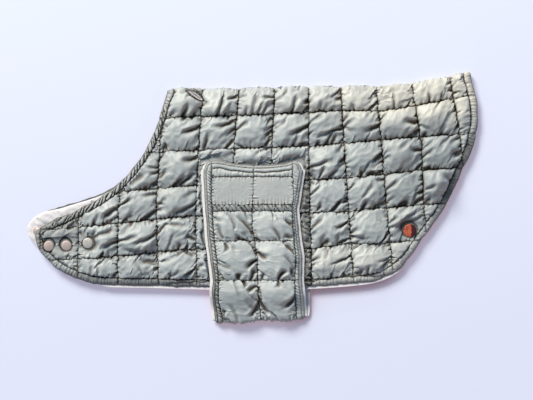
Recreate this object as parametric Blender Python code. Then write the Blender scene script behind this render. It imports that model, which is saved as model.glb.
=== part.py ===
"""A quilted winter coat for a medium dog, folded along its spine and laid on its right side.

The coat is one quilted shell and one fleece lining, each a sheet folded over at the spine, so the left half
lies on the right half. The belly band comes from under the hem, folds over below it and is closed on top.
Lengths are in millimetres until a mesh is made. +X points from neck to tail, +Y from belly to spine and +Z up
from the floor, and the origin is on the floor under the middle of the coat's bounding box.
"""

import math
from collections import namedtuple

import bmesh
import bpy
import numpy as np
from mathutils import Vector
from mathutils.geometry import delaunay_2d_cdt

MM = 0.001

# Thickness of the layers, and the air between them.
SHELL_WALL = 3.0
LINING_WALL = 1.5
SEAM_GAP = 0.3
LINING_GAP = 0.5
BAND_SHELL_WALL = 2.5
BAND_LINING_WALL = 1.2

# A folded stack is both layers of shell and lining. Its fold is a half round as high as the stack.
COAT_RADIUS = (2 * (SHELL_WALL + SEAM_GAP + LINING_WALL) + LINING_GAP) / 2
BAND_RADIUS = (2 * (BAND_SHELL_WALL + SEAM_GAP + BAND_LINING_WALL) + LINING_GAP) / 2
FOLD_STEPS = 8

# Quilting: how far a cell stands up between its seams, and where its points lie from one seam to the next.
PUFF = 6.0
PUFF_VARIES = 0.14
CELL_SHARES = (0.0, 0.14, 0.38, 0.62, 0.86)
# The topstitched channel round the edge, and how far inside it the cells reach their full height.
CHANNEL = 8.0
CHANNEL_RISE = 1.6
EDGE_DROP = -1.2
CELL_RAMP = 12.0
# The band presses the cells under it, and each snap cap and the rivet sit in a dimple.
PRESSED_PUFF = 2.2
PRESS_MARGIN = 6.0
PRESS_RAMP = 6.0
DISC_DIMPLE = 5.0
# The lining ends inside the shell's edge, but for the left hem, where it shows below.
LINING_INSET = 1.8
LINING_SHOWS = 1.2

# Spacing of the points along an edge, and how far from an edge or the fold other points keep.
EDGE_STEP = 7.0
CLEAR_OF_STITCH = 2.0
CLEAR_OF_FOLD = 2.0
CLEAR_OF_DISC = 3.0
CLEAR_OF_EDGE = 3.5

Place = namedtuple("Place", "x y")

# The crest of the spine fold, from the neck to the tail, in the valleys between the cells.
SPINE = (
    Place(-98.0, 126.0),
    Place(-55.0, 125.0),
    Place(-14.5, 125.5),
    Place(66.5, 127.0),
    Place(104.0, 127.5),
    Place(143.5, 128.5),
    Place(185.0, 131.5),
    Place(217.5, 137.0),
    Place(250.5, 146.0),
)
NECK_EDGE = (
    Place(-98.5, 120.9),
    Place(-102.5, 111.5),
    Place(-107.5, 92.0),
    Place(-114.5, 73.5),
    Place(-123.5, 55.0),
    Place(-138.5, 33.0),
)
LEFT_STRAP_EDGE = (
    Place(-158.5, 12.0),
    Place(-180.5, -3.0),
    Place(-206.0, -16.5),
    Place(-232.5, -28.0),
    Place(-245.5, -34.5),
    Place(-251.5, -41.0),
    Place(-252.5, -47.5),
    Place(-245.5, -63.5),
    Place(-227.0, -82.0),
)
RIGHT_STRAP_EDGE = (
    Place(-158.5, 13.5),
    Place(-180.5, 2.0),
    Place(-206.0, -6.0),
    Place(-232.5, -14.5),
    Place(-249.0, -21.5),
    Place(-258.0, -29.0),
    Place(-261.0, -37.0),
    Place(-259.5, -44.5),
    Place(-246.5, -60.0),
    Place(-227.0, -81.0),
)
HEM_EDGE = (
    Place(-211.5, -90.5),
    Place(-195.5, -96.5),
    Place(-174.5, -100.5),
    Place(-119.0, -102.0),
    Place(-49.5, -104.0),
    Place(15.0, -105.0),
    Place(78.5, -102.5),
    Place(134.0, -97.5),
    Place(153.5, -92.0),
    Place(167.5, -84.0),
)
TAIL_EDGE = (
    Place(180.5, -70.5),
    Place(195.5, -50.5),
    Place(224.5, -8.0),
    Place(237.0, 19.0),
    Place(249.0, 43.5),
    Place(257.0, 65.5),
    Place(261.0, 88.5),
    Place(259.5, 111.5),
    Place(253.0, 140.5),
)

# Where each seam that runs across the body lies, at four heights from the back down to the hem.
CrossSeam = namedtuple("CrossSeam", "back flank side hem")
CROSS_SEAM_Y = CrossSeam(124.5, 55.0, -14.5, -90.0)
CROSS_SEAMS = (
    CrossSeam(-239.5, -243.0, -245.5, -246.5),
    CrossSeam(-195.5, -199.0, -201.5, -202.5),
    CrossSeam(-145.5, -150.0, -155.5, -156.0),
    CrossSeam(-101.5, -107.5, -111.5, -109.0),
    CrossSeam(-57.5, -62.5, -66.0, -64.5),
    CrossSeam(-15.5, -21.0, -24.0, -21.5),
    CrossSeam(26.0, 22.5, 21.5, 24.0),
    CrossSeam(65.0, 65.5, 66.5, 69.0),
    CrossSeam(102.5, 106.5, 111.5, 117.0),
    CrossSeam(143.5, 150.0, 155.5, 163.0),
    CrossSeam(185.0, 196.0, 198.5, 206.0),
    CrossSeam(229.0, 240.5, 247.5, 252.5),
    CrossSeam(271.0, 282.5, 289.5, 294.5),
)
# Where each seam that runs along the body lies, at nine stations from the strap to the tail.
LengthSeam = namedtuple("LengthSeam", "tip strap neck shoulder belly loin flank rump tail")
LENGTH_SEAM_X = LengthSeam(-223.5, -153.5, -84.0, -14.5, 66.5, 107.5, 151.5, 194.5, 252.5)
LENGTH_SEAMS = (
    LengthSeam(80.5, 86.0, 93.0, 95.0, 98.5, 100.5, 100.0, 107.0, 118.0),
    LengthSeam(43.5, 49.0, 53.5, 56.5, 59.0, 62.5, 66.5, 70.0, 73.5),
    LengthSeam(0.5, 6.0, 12.5, 16.5, 20.0, 22.0, 26.0, 31.0, 35.0),
    LengthSeam(-37.0, -30.0, -22.5, -19.0, -18.0, -17.0, -12.5, -9.0, -4.5),
    LengthSeam(-72.5, -68.0, -61.0, -59.0, -59.5, -54.0, -53.5, -49.5, -46.0),
    LengthSeam(-110.5, -106.0, -99.0, -97.0, -97.5, -92.0, -91.5, -87.5, -84.0),
)

# The belly band: its edges, the stitching inside them and its centre seam, from its top end down to its fold.
BandLine = namedtuple("BandLine", "y left left_stitch centre right_stitch right")
BAND_LINES = (
    BandLine(42.0, -58.0, -47.0, 1.5, 46.5, 59.0),
    BandLine(30.0, -59.5, -47.0, 1.5, 46.5, 61.0),
    BandLine(0.0, -58.0, -47.0, 0.5, 47.5, 56.0),
    BandLine(-13.5, -57.0, -46.0, 0.3, 46.0, 53.5),
    BandLine(-30.0, -56.0, -45.0, 0.0, 46.5, 55.0),
    BandLine(-49.0, -54.5, -43.5, 2.3, 48.0, 57.0),
    BandLine(-68.0, -52.0, -40.5, 5.5, 49.5, 60.0),
    BandLine(-96.0, -48.5, -38.5, 6.0, 49.0, 59.5),
    BandLine(-116.0, -49.5, -38.5, 7.0, 49.0, 61.5),
    BandLine(-136.0, -47.0, -35.0, 9.5, 50.5, 63.0),
    BandLine(-148.0, -44.5, -33.0, 10.0, 51.0, 64.0),
)
# Each row of the band begins at top, ends where the next one begins, and stands up by rise.
BandRow = namedtuple("BandRow", "top rise")
BAND_ROWS = (
    BandRow(33.5, 1.6),
    BandRow(23.5, 0.9),
    BandRow(-8.5, 1.4),
    BandRow(-16.5, 4.2),
    BandRow(-50.5, 4.6),
    BandRow(-96.0, 4.4),
)
# A row no taller than this has points only at its seams and in its middle.
TALL_ROW = 15.0
NARROW_SHARES = (0.0, 0.5)
BAND_TOP = 42.0
BAND_CORNER = 9.0
BAND_FOLD = (
    Place(-46.0, -147.0),
    Place(-25.0, -144.5),
    Place(12.0, -142.5),
    Place(65.0, -141.5),
)
BAND_PIPING = 3.0
BAND_PIPING_RISE = 1.2
BAND_STRIP_RISE = 1.0
BAND_LINING_SHOWS = 2.0
BAND_UNDER_LEFT = -45.0
BAND_UNDER_RIGHT = 66.5
BAND_UNDER_END = -105.6
# The band leaves the coat just below the hem and reaches the floor's level before its fold.
BAND_LEAVES_COAT = -106.5
BAND_REACHES_FLOOR = -133.0

SNAP_CAP_DIAMETER = 12.0
SNAP_CAP_HEIGHT = 1.8
SNAP_CAPS = (
    Place(-236.0, -56.5),
    Place(-215.5, -56.0),
    Place(-191.0, -53.0),
)
# The studs lie on the right strap as the caps do on the left one, which has slipped from it by this much.
STRAP_SLIP = Place(-13.0, 17.5)
STUD_DIAMETER = 12.0
STUD_HEIGHT = 1.5
STUD_LIFT = 1.6
STUD_LIFT_FROM = -176.0
STUD_LIFT_FULL = -198.0
RIVET = Place(182.5, -38.5)
RIVET_DIAMETER = 15.2
RIVET_HEIGHT = 1.9
DISC_SEGMENTS = 24

# The leash slit: a lens-shaped hole on the upper side of the spine fold.
SLIT_MIDDLE = -66.0
SLIT_LENGTH = 21.0
SLIT_WIDTH = 3.8
SLIT_TILT = math.radians(38)
SLIT_IN_LINING = 0.6
SLIT_POINTS = 10

Finish = namedtuple("Finish", "color roughness metallic")
FINISHES = {
    "shell_nylon": Finish((0.36, 0.41, 0.40), 0.48, 0.0),
    "fleece": Finish((0.84, 0.81, 0.80), 0.95, 0.0),
    "rose_metal": Finish((0.60, 0.49, 0.46), 0.35, 0.6),
    "copper": Finish((0.62, 0.26, 0.17), 0.3, 0.9),
}


# Curves ------------------------------------------------------------------------------------------------


def smooth_curve(places, step):
    """Points about step apart on a smooth curve through the places."""
    knots = np.array(places, float)
    ends = np.vstack([2 * knots[0] - knots[1], knots, 2 * knots[-1] - knots[-2]])
    s = np.linspace(0, 1, 24, endpoint=False)[:, None]
    pieces = []
    for p0, p1, p2, p3 in zip(ends, ends[1:], ends[2:], ends[3:]):
        reach = np.linalg.norm(p2 - p1)
        into = (p2 - p0) / np.linalg.norm(p2 - p0) * reach
        out = (p3 - p1) / np.linalg.norm(p3 - p1) * reach
        pieces.append(
            p1 * (2 * s**3 - 3 * s**2 + 1)
            + into * (s**3 - 2 * s**2 + s)
            + p2 * (3 * s**2 - 2 * s**3)
            + out * (s**3 - s**2)
        )
    return spaced(np.vstack([*pieces, knots[-1:]]), step)


def spaced(line, step):
    """The line again, with points about step apart."""
    along = np.r_[0, np.cumsum(np.linalg.norm(np.diff(line, axis=0), axis=1))]
    at = np.linspace(0, along[-1], max(2, round(along[-1] / step) + 1))
    return np.column_stack([np.interp(at, along, line[:, k]) for k in range(2)])


def to_the_left(line, amount):
    """The line moved to the left of its direction of travel."""
    ahead = np.gradient(line, axis=0)
    ahead /= np.linalg.norm(ahead, axis=1)[:, None]
    return line + np.column_stack([-ahead[:, 1], ahead[:, 0]]) * np.reshape(amount, (-1, 1))


def distance_to(points, line):
    """How far each point is from the line."""
    a, b = line[:-1], line[1:]
    along = b - a
    t = ((points[:, None] - a) * along).sum(2) / (along**2).sum(1)
    nearest = a + np.clip(t, 0, 1)[..., None] * along
    return np.linalg.norm(points[:, None] - nearest, axis=2).min(1)


def inside(points, loop):
    """Whether each point is inside the closed loop."""
    x, y = points[:, :1], points[:, 1:]
    ax, ay = loop[:, 0], loop[:, 1]
    bx, by = np.roll(ax, -1), np.roll(ay, -1)
    crosses = (ay > y) != (by > y)
    with np.errstate(divide="ignore", invalid="ignore"):
        to_the_right = x < (bx - ax) * (y - ay) / (by - ay) + ax
    return (crosses & to_the_right).sum(1) % 2 == 1


def smoothstep(value, start, end):
    share = np.clip((value - start) / (end - start), 0, 1)
    return share * share * (3 - 2 * share)


def ring_of(radius, count):
    turns = np.linspace(0, 2 * math.pi, count, endpoint=False)
    return radius * np.column_stack([np.cos(turns), np.sin(turns)])


# The fold ------------------------------------------------------------------------------------------------


class Fold:
    """A sheet folded over a half round: an upper layer, the fold's crest and a lower layer on the floor.

    faces is 1 when the crest is on the +Y side, and lift tells how far the upper layer is raised at a place.
    slope_x and slope_y are the columns and rows of points that follow the lift where it changes.
    """

    def __init__(self, crest, radius, faces, lift, slope_x, slope_y):
        self.crest = smooth_curve(crest, 4.0)
        self.radius = radius
        self.faces = faces
        self.lift = lift
        self.quarter = radius * math.pi / 2
        self.slope_x = slope_x
        self.slope_y = slope_y

    def axis_y(self, x):
        return np.interp(x, self.crest[:, 0], self.crest[:, 1]) - self.faces * self.radius

    def depth(self, x, y):
        """How far along the cloth a place on the upper layer lies from the crest."""
        return self.quarter + self.faces * (self.axis_y(x) - y)

    def upper_y(self, x, depth):
        return self.axis_y(x) - self.faces * (depth - self.quarter)

    def round_points(self, x, angle, reach):
        """Points of the half round, reach from its axis, at an angle from the crest up or down."""
        reach = np.broadcast_to(reach, len(x))
        y = self.axis_y(x) + self.faces * reach * math.cos(angle)
        return np.column_stack([x, y, self.radius + reach * math.sin(angle)])

    def upper_points(self, places, reach):
        x, y = places[:, 0], places[:, 1]
        return np.column_stack([x, y, self.radius + reach + self.lift(x, y)])

    def lower_points(self, places, reach):
        height = np.broadcast_to(self.radius - reach, len(places))
        return np.column_stack([places, height])

    def from_axis(self, places):
        """How far places on a layer are from the start of the fold."""
        return self.faces * (self.axis_y(places[:, 0]) - places[:, 1])

    def is_on_layer(self, places, edge):
        x = np.linspace(edge[-1, 0], edge[0, 0], 60)
        fold_side = np.column_stack([x, self.axis_y(x)])
        return inside(places, np.vstack([edge, fold_side]))

    def slope_points(self, edge):
        x, y = (axis.ravel() for axis in np.meshgrid(self.slope_x, self.slope_y))
        places = np.column_stack([x, y])
        return places[self.is_on_layer(places, edge) & (distance_to(places, edge) > CLEAR_OF_EDGE)]


def coat_lift(x, y):
    """The left strap lies on the right strap's studs."""
    return STUD_LIFT * smoothstep(x, STUD_LIFT_FROM, STUD_LIFT_FULL)


BAND_CLIMB = 2 * COAT_RADIUS + PRESSED_PUFF + SEAM_GAP - BAND_RADIUS - LINING_GAP / 2


def band_lift(x, y):
    """The band climbs from the floor's level on to the coat."""
    return BAND_CLIMB * smoothstep(y, BAND_REACHES_FLOOR, BAND_LEAVES_COAT)


COAT_FOLD = Fold(
    SPINE,
    COAT_RADIUS,
    1,
    coat_lift,
    np.linspace(STUD_LIFT_FROM, STUD_LIFT_FULL, 5),
    np.linspace(-90.0, -6.0, 8),
)
BAND_FOLDED = Fold(
    BAND_FOLD,
    BAND_RADIUS,
    -1,
    band_lift,
    np.linspace(-40.0, 52.0, 8),
    np.linspace(BAND_REACHES_FLOOR, BAND_LEAVES_COAT, 7),
)


# Solids ------------------------------------------------------------------------------------------------


class Skin:
    """The points and faces of one closed body."""

    def __init__(self):
        self.points = []
        self.faces = []

    def add(self, points):
        first = len(self.points)
        self.points.extend(np.asarray(points, float).tolist())
        return list(range(first, len(self.points)))

    def strip(self, one, other):
        """Faces between two rows of as many points."""
        for k in range(len(one) - 1):
            self.faces.append((one[k], one[k + 1], other[k + 1], other[k]))

    def fill(self, loop, loop_places, middle=(), middle_places=(), creases=()):
        """Triangles over a closed loop, through the points in its middle and along their creases."""
        count = len(loop)
        places = [Vector(p) for p in (*loop_places, *middle_places)]
        edges = [(k, (k + 1) % count) for k in range(count)]
        edges += [(int(a) + count, int(b) + count) for a, b in creases]
        _, _, triangles, came_from, _, _ = delaunay_2d_cdt(places, edges, [], 1, 1e-5)
        ids = [*loop, *middle]
        for triangle in triangles:
            self.faces.append(tuple(ids[came_from[k][0]] for k in triangle))

    def to_object(self, name, finish):
        mesh = bpy.data.meshes.new(name)
        shape = bmesh.new()
        used = sorted({k for face in self.faces for k in face})
        vertices = {k: shape.verts.new(Vector(self.points[k]) * MM) for k in used}
        for face in self.faces:
            shape.faces.new([vertices[k] for k in face])
        bmesh.ops.recalc_face_normals(shape, faces=shape.faces)
        bmesh.ops.triangulate(shape, faces=shape.faces)
        shape.to_mesh(mesh)
        shape.free()
        mesh.shade_smooth()
        mesh.set_sharp_from_angle(angle=math.radians(50))
        mesh.materials.append(bpy.data.materials[finish])
        made = bpy.data.objects.new(name, mesh)
        bpy.context.scene.collection.objects.link(made)
        return made


# The raised points of a layer: their places, how far they rise, the pairs of them along a seam, and the
# rise of the layer's edge.
Raised = namedtuple("Raised", "places rises creases edge_rise")


def folded_sheet(name, finish, fold, reach, wall, upper_edge, lower_edge, stations, quilting=None):
    """A closed cloth wall that lies folded. Its outer face is reach from the fold's axis.

    Both edges run from the fold's left end round to its right end, and stations are the places along the fold.
    """
    skin = Skin()
    outer_rows = []
    inner_rows = []
    for angle in np.linspace(math.pi / 2, -math.pi / 2, FOLD_STEPS + 1):
        rise = quilting.fold_rise(stations, angle) if quilting else 0.0
        outer_rows.append(skin.add(fold.round_points(stations, angle, reach + rise)))
        inner_rows.append(skin.add(fold.round_points(stations, angle, reach - wall)))
    for rows in (outer_rows, inner_rows):
        for one, other in zip(rows, rows[1:]):
            skin.strip(one, other)

    slope = fold.slope_points(upper_edge)
    raised = quilting.upper_layer(upper_edge) if quilting else Raised(slope, 0.0, (), 0.0)
    middle = skin.add(fold.upper_points(raised.places, reach + raised.rises))
    under = skin.add(fold.upper_points(slope, reach - wall))
    upper_out = skin.add(fold.upper_points(upper_edge, reach + raised.edge_rise))
    upper_in = skin.add(fold.upper_points(upper_edge, reach - wall))
    lower_out = skin.add(fold.lower_points(lower_edge, reach))
    lower_in = skin.add(fold.lower_points(lower_edge, reach - wall))
    fold_places = np.column_stack([stations, fold.axis_y(stations)])[::-1]
    upper_loop = np.vstack([upper_edge, fold_places])
    lower_loop = np.vstack([lower_edge, fold_places])
    skin.fill(upper_out + outer_rows[0][::-1], upper_loop, middle, raised.places, raised.creases)
    skin.fill(upper_in + inner_rows[0][::-1], upper_loop, under, slope)
    skin.fill(lower_out + outer_rows[-1][::-1], lower_loop)
    skin.fill(lower_in + inner_rows[-1][::-1], lower_loop)

    def rim(rows, upper, lower):
        left = [row[0] for row in rows]
        right = [row[-1] for row in reversed(rows)]
        return upper[::-1] + left + lower + right + upper[-1:]

    skin.strip(rim(outer_rows, upper_out, lower_out), rim(inner_rows, upper_in, lower_in))
    return skin.to_object(name, finish)


# Quilting ------------------------------------------------------------------------------------------------


def pillow(share):
    """The height of a stuffed cell across its width: 0 at its seams and 1 in the middle."""
    within = share - np.floor(share)
    return (4 * within * (1 - within)) ** 0.6


def cell_numbers(first, last):
    """Numbers that count seams, with the points of each cell as fractions between them."""
    return np.array([seam + share for seam in range(first, last) for share in CELL_SHARES] + [last])


def seam_creases(kept, seam_rows, seam_columns):
    """Pairs of neighbours along the seams of a grid. A kept point's number is its place among the kept."""
    number = np.cumsum(kept).reshape(kept.shape) - 1
    lines = [(kept[row], number[row]) for row in np.flatnonzero(seam_rows)]
    lines += [(kept[:, column], number[:, column]) for column in np.flatnonzero(seam_columns)]
    pairs = []
    for is_kept, numbers in lines:
        both = is_kept[:-1] & is_kept[1:]
        pairs.extend(zip(numbers[:-1][both], numbers[1:][both]))
    return pairs


def with_channel(grid, grid_rises, creases, crest, crest_rise, stitch, flats, edge_rise):
    """A layer's raised points: its grid, the channel's crest, its stitching, and flat points round discs."""
    first = len(grid) + len(crest)
    along = [
        (first + k, first + k + 1)
        for k in range(len(stitch) - 1)
        if np.linalg.norm(stitch[k + 1] - stitch[k]) < 2 * EDGE_STEP
    ]
    places = np.vstack([grid, crest, stitch, *flats])
    rises = np.zeros(len(places))
    rises[: len(grid)] = grid_rises
    rises[len(grid) : first] = crest_rise
    return Raised(places, rises, creases + along, edge_rise)


class CoatQuilting:
    """The coat's grid of stuffed cells, and a topstitched channel round its edge."""

    def __init__(self, start, end):
        self.start = start
        self.end = end

    def cross_x(self, u, y):
        """Where the cross seam number u lies at y. Between two seams u is a fraction."""
        columns = np.array(CROSS_SEAMS)[:, ::-1]
        at = np.array([np.interp(y, CROSS_SEAM_Y[::-1], seam) for seam in columns])
        return self.between(at, u)

    def length_depth(self, v, x):
        """How far from the crest the lengthwise seam number v lies at x. Seam 0 is the crest."""
        seams = np.array([np.interp(x, LENGTH_SEAM_X, seam) for seam in LENGTH_SEAMS])
        depths = COAT_FOLD.depth(x, seams)
        return self.between(np.vstack([-depths[:1], 0 * depths[:1], depths]), v + 1)

    @staticmethod
    def between(at, number):
        low = np.clip(np.floor(number).astype(int), 0, len(at) - 2)
        column = np.arange(at.shape[1])
        return at[low, column] + (number - low) * (at[low + 1, column] - at[low, column])

    def cell_rise(self, u, v):
        varied = 1 + PUFF_VARIES * np.sin(2.4 * np.floor(u) + 1.7 * np.floor(v))
        return PUFF * varied * pillow(u) * pillow(v)

    def fold_rise(self, x, angle):
        """The cells go round the crest, the channel crosses it, and nothing goes below the floor."""
        seams = [seam.back for seam in CROSS_SEAMS]
        u = np.interp(x, seams, np.arange(len(seams)))
        first_row = self.length_depth(np.ones(len(x)), x)
        v = COAT_FOLD.quarter * angle / (math.pi / 2) / first_row
        end = np.minimum(x - self.start, self.end - x)
        rise = self.cell_rise(u, v) * np.sqrt(np.clip((end - CHANNEL) / CELL_RAMP, 0, 1))
        channel = np.interp(end, (0, CHANNEL / 2, CHANNEL), (EDGE_DROP, CHANNEL_RISE, 0))
        rise = np.where(end < CHANNEL, channel, rise)
        if angle < 0:
            room = COAT_RADIUS * (1 / math.sin(-angle) - 1)
            rise = np.minimum(rise, room) * smoothstep(angle, -math.pi / 2, 0)
        return rise

    def pressed(self, places):
        """How much of its rise the cloth keeps under the band, and round the snaps and the rivet."""
        left, right = band_edges(np.clip(places[:, 1], BAND_LINES[-1].y, BAND_TOP))
        past = np.maximum.reduce([left - places[:, 0], places[:, 0] - right, places[:, 1] - BAND_TOP])
        kept = PRESSED_PUFF / PUFF / (1 + PUFF_VARIES)
        share = kept + (1 - kept) * smoothstep(past, PRESS_MARGIN, PRESS_MARGIN + PRESS_RAMP)
        for middle, width in DISCS_ON_COAT:
            away = np.linalg.norm(places - np.array(middle), axis=1)
            share = share * smoothstep(away, width / 2 + 0.5, width / 2 + DISC_DIMPLE)
        return share

    def upper_layer(self, edge):
        columns = cell_numbers(0, len(CROSS_SEAMS) - 1)
        rows = cell_numbers(0, len(LENGTH_SEAMS))
        u, v = (axis.ravel() for axis in np.meshgrid(columns, rows))
        x = np.zeros(len(u))
        y = np.zeros(len(u))
        for _ in range(12):
            x = self.cross_x(u, y)
            y = COAT_FOLD.upper_y(x, self.length_depth(v, x))
        grid = np.column_stack([x, y])
        away = distance_to(grid, edge)
        kept = COAT_FOLD.is_on_layer(grid, edge) & (away > CHANNEL + CLEAR_OF_STITCH)
        kept &= COAT_FOLD.from_axis(grid) > CLEAR_OF_FOLD
        for middle, width in DISCS_ON_COAT:
            kept &= np.linalg.norm(grid - np.array(middle), axis=1) > width / 2 + CLEAR_OF_DISC
        by_row = kept.reshape(len(rows), len(columns))
        creases = seam_creases(by_row, rows % 1 == 0, columns % 1 == 0)
        cells = self.cell_rise(u, v) * np.sqrt(np.clip((away - CHANNEL) / CELL_RAMP, 0, 1))
        crest = to_the_left(edge, CHANNEL / 2)
        stitch = spaced(to_the_left(edge, CHANNEL), EDGE_STEP)
        raised = with_channel(
            grid[kept],
            cells[kept],
            creases,
            crest[COAT_FOLD.is_on_layer(crest, edge)],
            CHANNEL_RISE,
            stitch[COAT_FOLD.is_on_layer(stitch, edge) & (COAT_FOLD.from_axis(stitch) > 1)],
            [np.array(middle) + ring_of(width / 2 + 1, 12) for middle, width in DISCS_ON_COAT],
            EDGE_DROP,
        )
        return raised._replace(rises=raised.rises * self.pressed(raised.places))


class BandQuilting:
    """The band's quilting: piped edges, a strip inside them, and two columns of cells in uneven rows."""

    def seam_x(self, y):
        """The piping's stitching, the strip's, the centre seam, and the same on the right."""
        left, right = band_edges(y)
        heights = [line.y for line in BAND_LINES[::-1]]
        inner = [
            np.interp(y, heights, [getattr(line, name) for line in BAND_LINES[::-1]])
            for name in ("left_stitch", "centre", "right_stitch")
        ]
        return np.array([left + BAND_PIPING, *inner, right - BAND_PIPING])

    def fold_rise(self, x, angle):
        """The cells' last row runs a little way round the fold."""
        if angle <= 0:
            return np.zeros(len(x))
        seams = self.seam_x(BAND_LINES[-1].y)
        across = pillow(np.interp(x, seams, np.arange(len(seams))))
        return BAND_STRIP_RISE * math.sin(angle) ** 2 * across

    def upper_layer(self, edge):
        columns = np.r_[0, 0.5, cell_numbers(1, 3), 3.5, 4]
        bottoms = [row.top for row in BAND_ROWS[1:]] + [BAND_LINES[-1].y]
        rows = []
        for row, bottom in zip(BAND_ROWS, bottoms):
            shares = CELL_SHARES if row.top - bottom > TALL_ROW else NARROW_SHARES
            rows += [(row.top, bottom, share, row.rise) for share in shares]
        grid = []
        rises = []
        for top, bottom, share, rise in rows:
            x = np.zeros(len(columns))
            for _ in range(6):
                end = np.maximum(bottom, BAND_FOLDED.axis_y(x))
                y = top + (end - top) * share
                x = self.column_x(columns, y)
            strip = (columns < 1) | (columns > 3)
            grid.append(np.column_stack([x, y]))
            rises.append(np.where(strip, min(BAND_STRIP_RISE, rise), rise) * pillow(columns) * pillow(share))
        grid = np.vstack(grid)
        away = distance_to(grid, edge)
        kept = BAND_FOLDED.is_on_layer(grid, edge) & (away > BAND_PIPING + CLEAR_OF_STITCH / 2)
        kept &= BAND_FOLDED.from_axis(grid) > CLEAR_OF_FOLD
        by_row = kept.reshape(len(rows), len(columns))
        is_seam_row = np.array([share == 0.0 for _, _, share, _ in rows])
        creases = seam_creases(by_row, is_seam_row, columns % 1 == 0)
        crest = to_the_left(edge, -BAND_PIPING / 2)
        stitch = to_the_left(edge, -BAND_PIPING)
        return with_channel(
            grid[kept],
            np.concatenate(rises)[kept],
            creases,
            crest[BAND_FOLDED.is_on_layer(crest, edge)],
            BAND_PIPING_RISE,
            stitch[BAND_FOLDED.is_on_layer(stitch, edge)],
            [],
            EDGE_DROP / 2,
        )

    def column_x(self, columns, y):
        """The places across the band of its seams and of the points between them, each at its own y."""
        seams = self.seam_x(y)
        return np.array([np.interp(u, np.arange(5.0), seams[:, k]) for k, u in enumerate(columns)])


# Edges ------------------------------------------------------------------------------------------------


def band_edges(y):
    """The left and right sides of the band's shell at a height."""
    heights = [line.y for line in BAND_LINES[::-1]]
    left = np.interp(y, heights, [line.left for line in BAND_LINES[::-1]])
    right = np.interp(y, heights, [line.right for line in BAND_LINES[::-1]])
    return left + BAND_LINING_SHOWS, right - BAND_LINING_SHOWS


def coat_edges(drawn_in, hem_out):
    """The edges of the left and the right layer, drawn in everywhere but for the left hem, which goes out."""
    left = smooth_curve(NECK_EDGE + LEFT_STRAP_EDGE + HEM_EDGE + TAIL_EDGE, EDGE_STEP)
    right = smooth_curve(NECK_EDGE + RIGHT_STRAP_EDGE + HEM_EDGE + TAIL_EDGE, EDGE_STEP)
    on_hem = smoothstep(left[:, 1], -60, -85) * smoothstep(left[:, 0], -195, -165)
    left = to_the_left(left, drawn_in - (drawn_in + hem_out) * on_hem)
    right = to_the_left(right, drawn_in)
    return left[COAT_FOLD.from_axis(left) > 0.8], right[COAT_FOLD.from_axis(right) > 0.8]


def coat_stations(drawn_in):
    """Places along the spine: the channel at both ends, and the cells' points between."""
    start = SPINE[0].x + drawn_in
    end = SPINE[-1].x - drawn_in
    seams = [seam.back for seam in CROSS_SEAMS]
    points = np.interp(cell_numbers(0, len(seams) - 1), np.arange(len(seams)), seams)
    between = points[(points > start + CHANNEL + 2) & (points < end - CHANNEL - 2)]
    channel = np.array([0, CHANNEL / 2, CHANNEL])
    return np.r_[start + channel, between, end - channel[::-1]]


def band_upper_edge(grow, top_drop):
    """The band's edge from the fold's left end, over the top end and down to the fold's right end."""
    above = np.arange(BAND_LEAVES_COAT + EDGE_STEP, BAND_TOP - BAND_CORNER - 2, EDGE_STEP)
    y = np.r_[BAND_FOLDED.slope_y, above]
    left, right = band_edges(y)
    top_left, top_right = band_edges(BAND_TOP)
    corner = np.linspace(0, math.pi / 2, 5)
    turn = np.column_stack([1 - np.cos(corner), np.sin(corner) - 1]) * BAND_CORNER
    start = np.array([top_left - grow, BAND_TOP - top_drop])
    end = np.array([top_right + grow, BAND_TOP - top_drop])
    across = np.linspace(start[0] + BAND_CORNER, end[0] - BAND_CORNER, 16)[1:-1]
    return np.vstack(
        [
            np.column_stack([left - grow, y]),
            start + turn,
            np.column_stack([across, np.full(len(across), start[1])]),
            (end + turn * (-1, 1))[::-1],
            np.column_stack([right + grow, y])[::-1],
        ]
    )


def band_lower_edge(grow):
    """The edge of the band's lower layer, which ends at the coat's hem."""
    left = BAND_UNDER_LEFT + BAND_LINING_SHOWS - grow
    right = BAND_UNDER_RIGHT - BAND_LINING_SHOWS + grow
    y = np.linspace(BAND_REACHES_FLOOR, BAND_UNDER_END, 4)
    across = np.linspace(left, right, 10)[1:-1]
    return np.vstack(
        [
            np.column_stack([np.full(len(y), left), y]),
            np.column_stack([across, np.full(len(across), BAND_UNDER_END)]),
            np.column_stack([np.full(len(y), right), y[::-1]]),
        ]
    )


def band_stations(grow):
    start = BAND_FOLD[0].x + BAND_LINING_SHOWS - grow
    end = BAND_FOLD[-1].x - BAND_LINING_SHOWS + grow
    return np.linspace(start, end, 21)


# Hard pieces ---------------------------------------------------------------------------------------------


def disc(name, finish, middle, base, width, height, dish):
    """A domed metal cap with a rolled rim. dish sinks its middle."""
    radius = width / 2
    profile = (
        (radius * 0.90, 0.0),
        (radius, height * 0.28),
        (radius * 0.97, height * 0.70),
        (radius * 0.86, height),
        (radius * 0.72, height * (1 - dish)),
        (radius * 0.35, height * (1.03 - dish)),
    )
    skin = Skin()
    turns = np.linspace(0, 2 * math.pi, DISC_SEGMENTS, endpoint=False)
    rings = []
    for r, z in profile:
        x = middle.x + r * np.cos(turns)
        y = middle.y + r * np.sin(turns)
        rings.append(skin.add(np.column_stack([x, y, np.full(DISC_SEGMENTS, base + z)])))
    for one, other in zip(rings, rings[1:]):
        skin.strip(one + one[:1], other + other[:1])
    skin.faces.append(tuple(rings[0][::-1]))
    skin.faces.append(tuple(rings[-1]))
    return skin.to_object(name, finish)


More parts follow.
